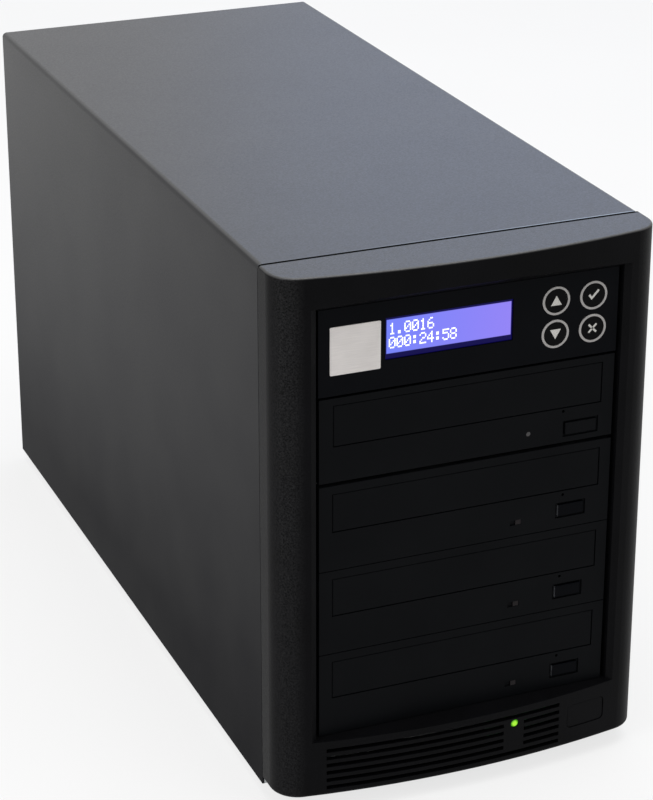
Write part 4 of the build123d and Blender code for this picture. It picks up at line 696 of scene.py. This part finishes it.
def cross_head(place):
    """Pan head with a cross recess: rings of points from the middle to the rim and down to the
    foot. The height is H sqrt(1 - 0.6 (r/R)^2), less the recess within the cross's arms, whose
    floor rises over a short slope to their sides and ends."""
    radius, height, foot_depth = 3.0 * MM, 1.9 * MM, 2.0 * MM
    recess, arm_half, arm_reach = 1.1 * MM, 0.62 * MM, 1.75 * MM
    side_slope, end_slope = 0.2 * MM, 0.5 * MM
    rings, sides = 12, 32
    reach = np.linspace(0.02, 1, rings)[:, None] * radius
    angle = np.linspace(0, 2 * math.pi, sides, endpoint=False)
    across, up = reach * np.cos(angle), reach * np.sin(angle)
    dome = height * np.sqrt(1 - 0.6 * (reach / radius) ** 2) * np.ones_like(across)
    narrow = np.minimum(abs(across), abs(up))
    longest = np.maximum(abs(across), abs(up))
    arm = np.clip((arm_half - narrow) / side_slope, 0, 1)
    arm = arm * np.clip((arm_reach - longest) / end_slope, 0, 1)
    grid = np.stack([across, dome - recess * arm, up], -1)
    foot = np.stack([across[-1], np.zeros(sides), up[-1]], -1)[None]
    base = np.array(place) - (0, foot_depth, 0)
    return surface(np.concatenate([grid, foot]) + base, False)


heads = joined([cross_head(place) for place in screw_places()])
add_piece("cross_head_screws", *heads, nickel, "root", True)
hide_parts("back_screws")


def wire_guard():
    """Fan guard of round wire: four rings, two straight wires across them, and an eye at each
    end of these, round a screw."""
    low, high = (np.array(corner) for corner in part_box("psu_fan_guard"))
    middle = (low + high) / 2
    face = low[1]
    rings = np.array([37.7, 28.1, 18.5, 8.9]) * MM
    ring_wire, cross_wire, eye_radius = 0.8 * MM, 0.75 * MM, 2.4 * MM  # radii
    screw = 71.5 / 2 * MM  # from the guard's middle, along X and along Z
    wire_end = screw - 1.7 * MM  # within the wire of the eye
    parts = []
    for ring in rings:
        centre = (middle[0], face + 2 * ring_wire, middle[2])
        parts.append(round_wire_ring(centre, ring, ring_wire))
    axis = np.array([middle[0], face + ring_wire, middle[2]])
    for side_x in (-1, 1):
        for side_z in (-1, 1):
            centre = axis + np.array([side_x, 0, side_z]) * screw
            parts.append(round_wire_ring(centre, eye_radius, cross_wire, sides=24))
        tip = np.array([side_x, 0, 1]) * wire_end
        parts.append(straight_wire(axis - tip, axis + tip, cross_wire))
    return joined(parts)


add_piece("wire_fan_guard", *wire_guard(), nickel, "root", True)
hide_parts("psu_fan_guard")


# ------------------------------------------------------------------ characters on the display
GLYPHS = {
    "0": "01110 10001 10011 10101 11001 10001 01110",
    "1": "00100 01100 00100 00100 00100 00100 01110",
    "2": "01110 10001 00001 00110 01000 10000 11111",
    "4": "00010 00110 01010 10010 11111 00010 00010",
    "5": "11111 10000 11110 00001 00001 10001 01110",
    "6": "00110 01000 10000 11110 10001 10001 01110",
    "8": "01110 10001 10001 01110 10001 10001 01110",
    ":": "00000 01100 01100 00000 01100 01100 00000",
    ".": "00000 00000 00000 00000 00000 01100 01100",
}
DISPLAY_LINES = ("1.0016", "000:24:58")
CELL = np.array([3.7, 6.6])  # mm from one character to the next, and between the lines
DOT = np.array([0.66, 0.78])  # mm from one dot to the next
FIRST_DOT = np.array([-28.9, 6.6])  # mm from the glass's middle to the upper left dot


def dot_places():
    """Middles of the lit dots in mm: the columns and rows that the glyphs mark, set out from
    the upper left dot of the first character."""
    places = []
    for row, line in enumerate(DISPLAY_LINES):
        for column, letter in enumerate(line):
            marks = np.array([list(bits) for bits in GLYPHS[letter].split()]) == "1"
            down, right = np.nonzero(marks)
            start = np.array([column, -row]) * CELL
            places.append(start + np.column_stack([right, -down]) * DOT)
    return np.vstack(places)


glass_middle, glass_y = node_middle("lcd_glass")
one_dot = bar(0.9, 0.9) * DOT  # a tenth of each way stays dark between two dots
dots = [(one_dot + place + FIRST_DOT) * MM + glass_middle[[0, 2]] for place in dot_places()]
characters = plates(dots, glass_y - PROUD, glass_y + PROUD)
add_piece("display_characters", *characters, display_dots, "root")


# ------------------------------------------------------------------ camera, floor and light
def camera_like_photograph():
    """Camera solved from the photograph's straight edges: it stands left of the tower, looks down
    on it, and its frame is shifted because the picture was cropped."""
    turn, height, roll = (math.radians(angle) for angle in (-21.978, 22.040, -0.093))
    back = Vector(
        (math.sin(turn) * math.cos(height), -math.cos(turn) * math.cos(height), math.sin(height))
    )
    level = (-back).cross(Vector((0, 0, 1))).normalized()
    upright = level.cross(-back)
    right = math.cos(roll) * level + math.sin(roll) * upright
    up = math.cos(roll) * upright - math.sin(roll) * level
    width_px, height_px, focal_px = 653, 800, 2534.05
    axis_x_px, axis_y_px = 313.13, 334.14  # where the lens's axis meets the cropped picture
    data = bpy.data.cameras.new("camera")
    data.sensor_width = 36.0
    data.lens = focal_px * data.sensor_width / height_px
    data.shift_x = (width_px / 2 - axis_x_px) / height_px
    data.shift_y = (axis_y_px - height_px / 2) / height_px
    camera = bpy.data.objects.new("camera", data)
    place = Matrix.Translation(Vector((-0.45557, -1.15220, 0.65046)))
    camera.matrix_world = place @ Matrix((right, up, back)).transposed().to_4x4()
    bpy.context.collection.objects.link(camera)
    bpy.context.scene.camera = camera


def softbox(name, place, aim, size, power, tint="#ffffff"):
    """Large soft area lamp at a place, turned towards aim. Size in metres, power in watts."""
    data = bpy.data.lights.new(name, "AREA")
    data.shape = "RECTANGLE"
    data.size, data.size_y = size
    data.energy = power
    data.color = paint(tint)[:3]
    lamp = bpy.data.objects.new(name, data)
    lamp.location = place
    lamp.rotation_euler = (Vector(aim) - Vector(place)).to_track_quat("-Z", "Y").to_euler()
    lamp.visible_camera = False
    bpy.context.collection.objects.link(lamp)


def seen(tree):
    """1 for the rays that see the background: straight, in a gloss or through glass."""
    path = add(tree, "ShaderNodeLightPath").outputs
    seen_so_far = path["Is Camera Ray"]
    for ray in ("Is Glossy Ray", "Is Transmission Ray"):
        inputs = {0: seen_so_far, 1: path[ray]}
        seen_so_far = add(tree, "ShaderNodeMath", inputs, operation="MAXIMUM")
    return seen_so_far


def pale_floor():
    """Matt paper sheet under the tower: nearly white, a little of its own light lifts it to the
    photograph's white, and the tower's shadow stays on it."""
    material = new_material("white_paper")
    tree = material.node_tree
    tone = add(tree, "ShaderNodeMapRange", {"Value": grain(tree, 300.0), **NOISE})
    colours = {0: tone, 6: paint("#e9e9e9"), 7: paint("#efefef")}
    colour = add(tree, "ShaderNodeMix", colours, data_type="RGBA")
    paper = add(tree, "ShaderNodeBsdfDiffuse", {"Color": colour})
    own = add(tree, "ShaderNodeEmission", {"Color": (1, 1, 1, 1), "Strength": 1.0})
    share = add(tree, "ShaderNodeMath", {0: seen(tree), 1: 0.75}, operation="MULTIPLY")
    close(material, add(tree, "ShaderNodeMixShader", {0: share, 1: paper, 2: own}))
    half_side = 12.0
    points = np.array([[-1, -1, 0], [1, -1, 0], [1, 1, 0], [-1, 1, 0]]) * half_side
    mesh = bpy.data.meshes.new("floor")
    mesh.from_pydata(points.tolist(), [], [[0, 1, 2, 3]])
    mesh.materials.append(material)
    floor = bpy.data.objects.new("floor", mesh)
    bpy.context.collection.objects.link(floor)


def plain_world():
    """Even pale surroundings; the rays that see the background find it white."""
    world = bpy.data.worlds.new("studio")
    world.use_nodes = True
    tree = world.node_tree
    tree.nodes.clear()
    strength = add(tree, "ShaderNodeMapRange", {"Value": seen(tree), "To Min": 0.55})
    lit = add(tree, "ShaderNodeBackground", {"Color": (1, 1, 1, 1), "Strength": strength})
    add(tree, "ShaderNodeOutputWorld", {"Surface": lit})
    bpy.context.scene.world = world


camera_like_photograph()
pale_floor()
plain_world()
softbox("lamp_above", (0.2, -0.1, 1.9), (0, 0, 0.1), (1.6, 1.6), 22)
softbox("lamp_behind", (0.9, 1.3, 0.95), (0, -0.2, 0.25), (0.9, 0.5), 1.7, "#86b4ff")
softbox("lamp_left", (-1.4, -0.5, 0.9), (0, 0, 0.15), (0.9, 1.2), 8)
bpy.context.scene.view_settings.view_transform = "Standard"
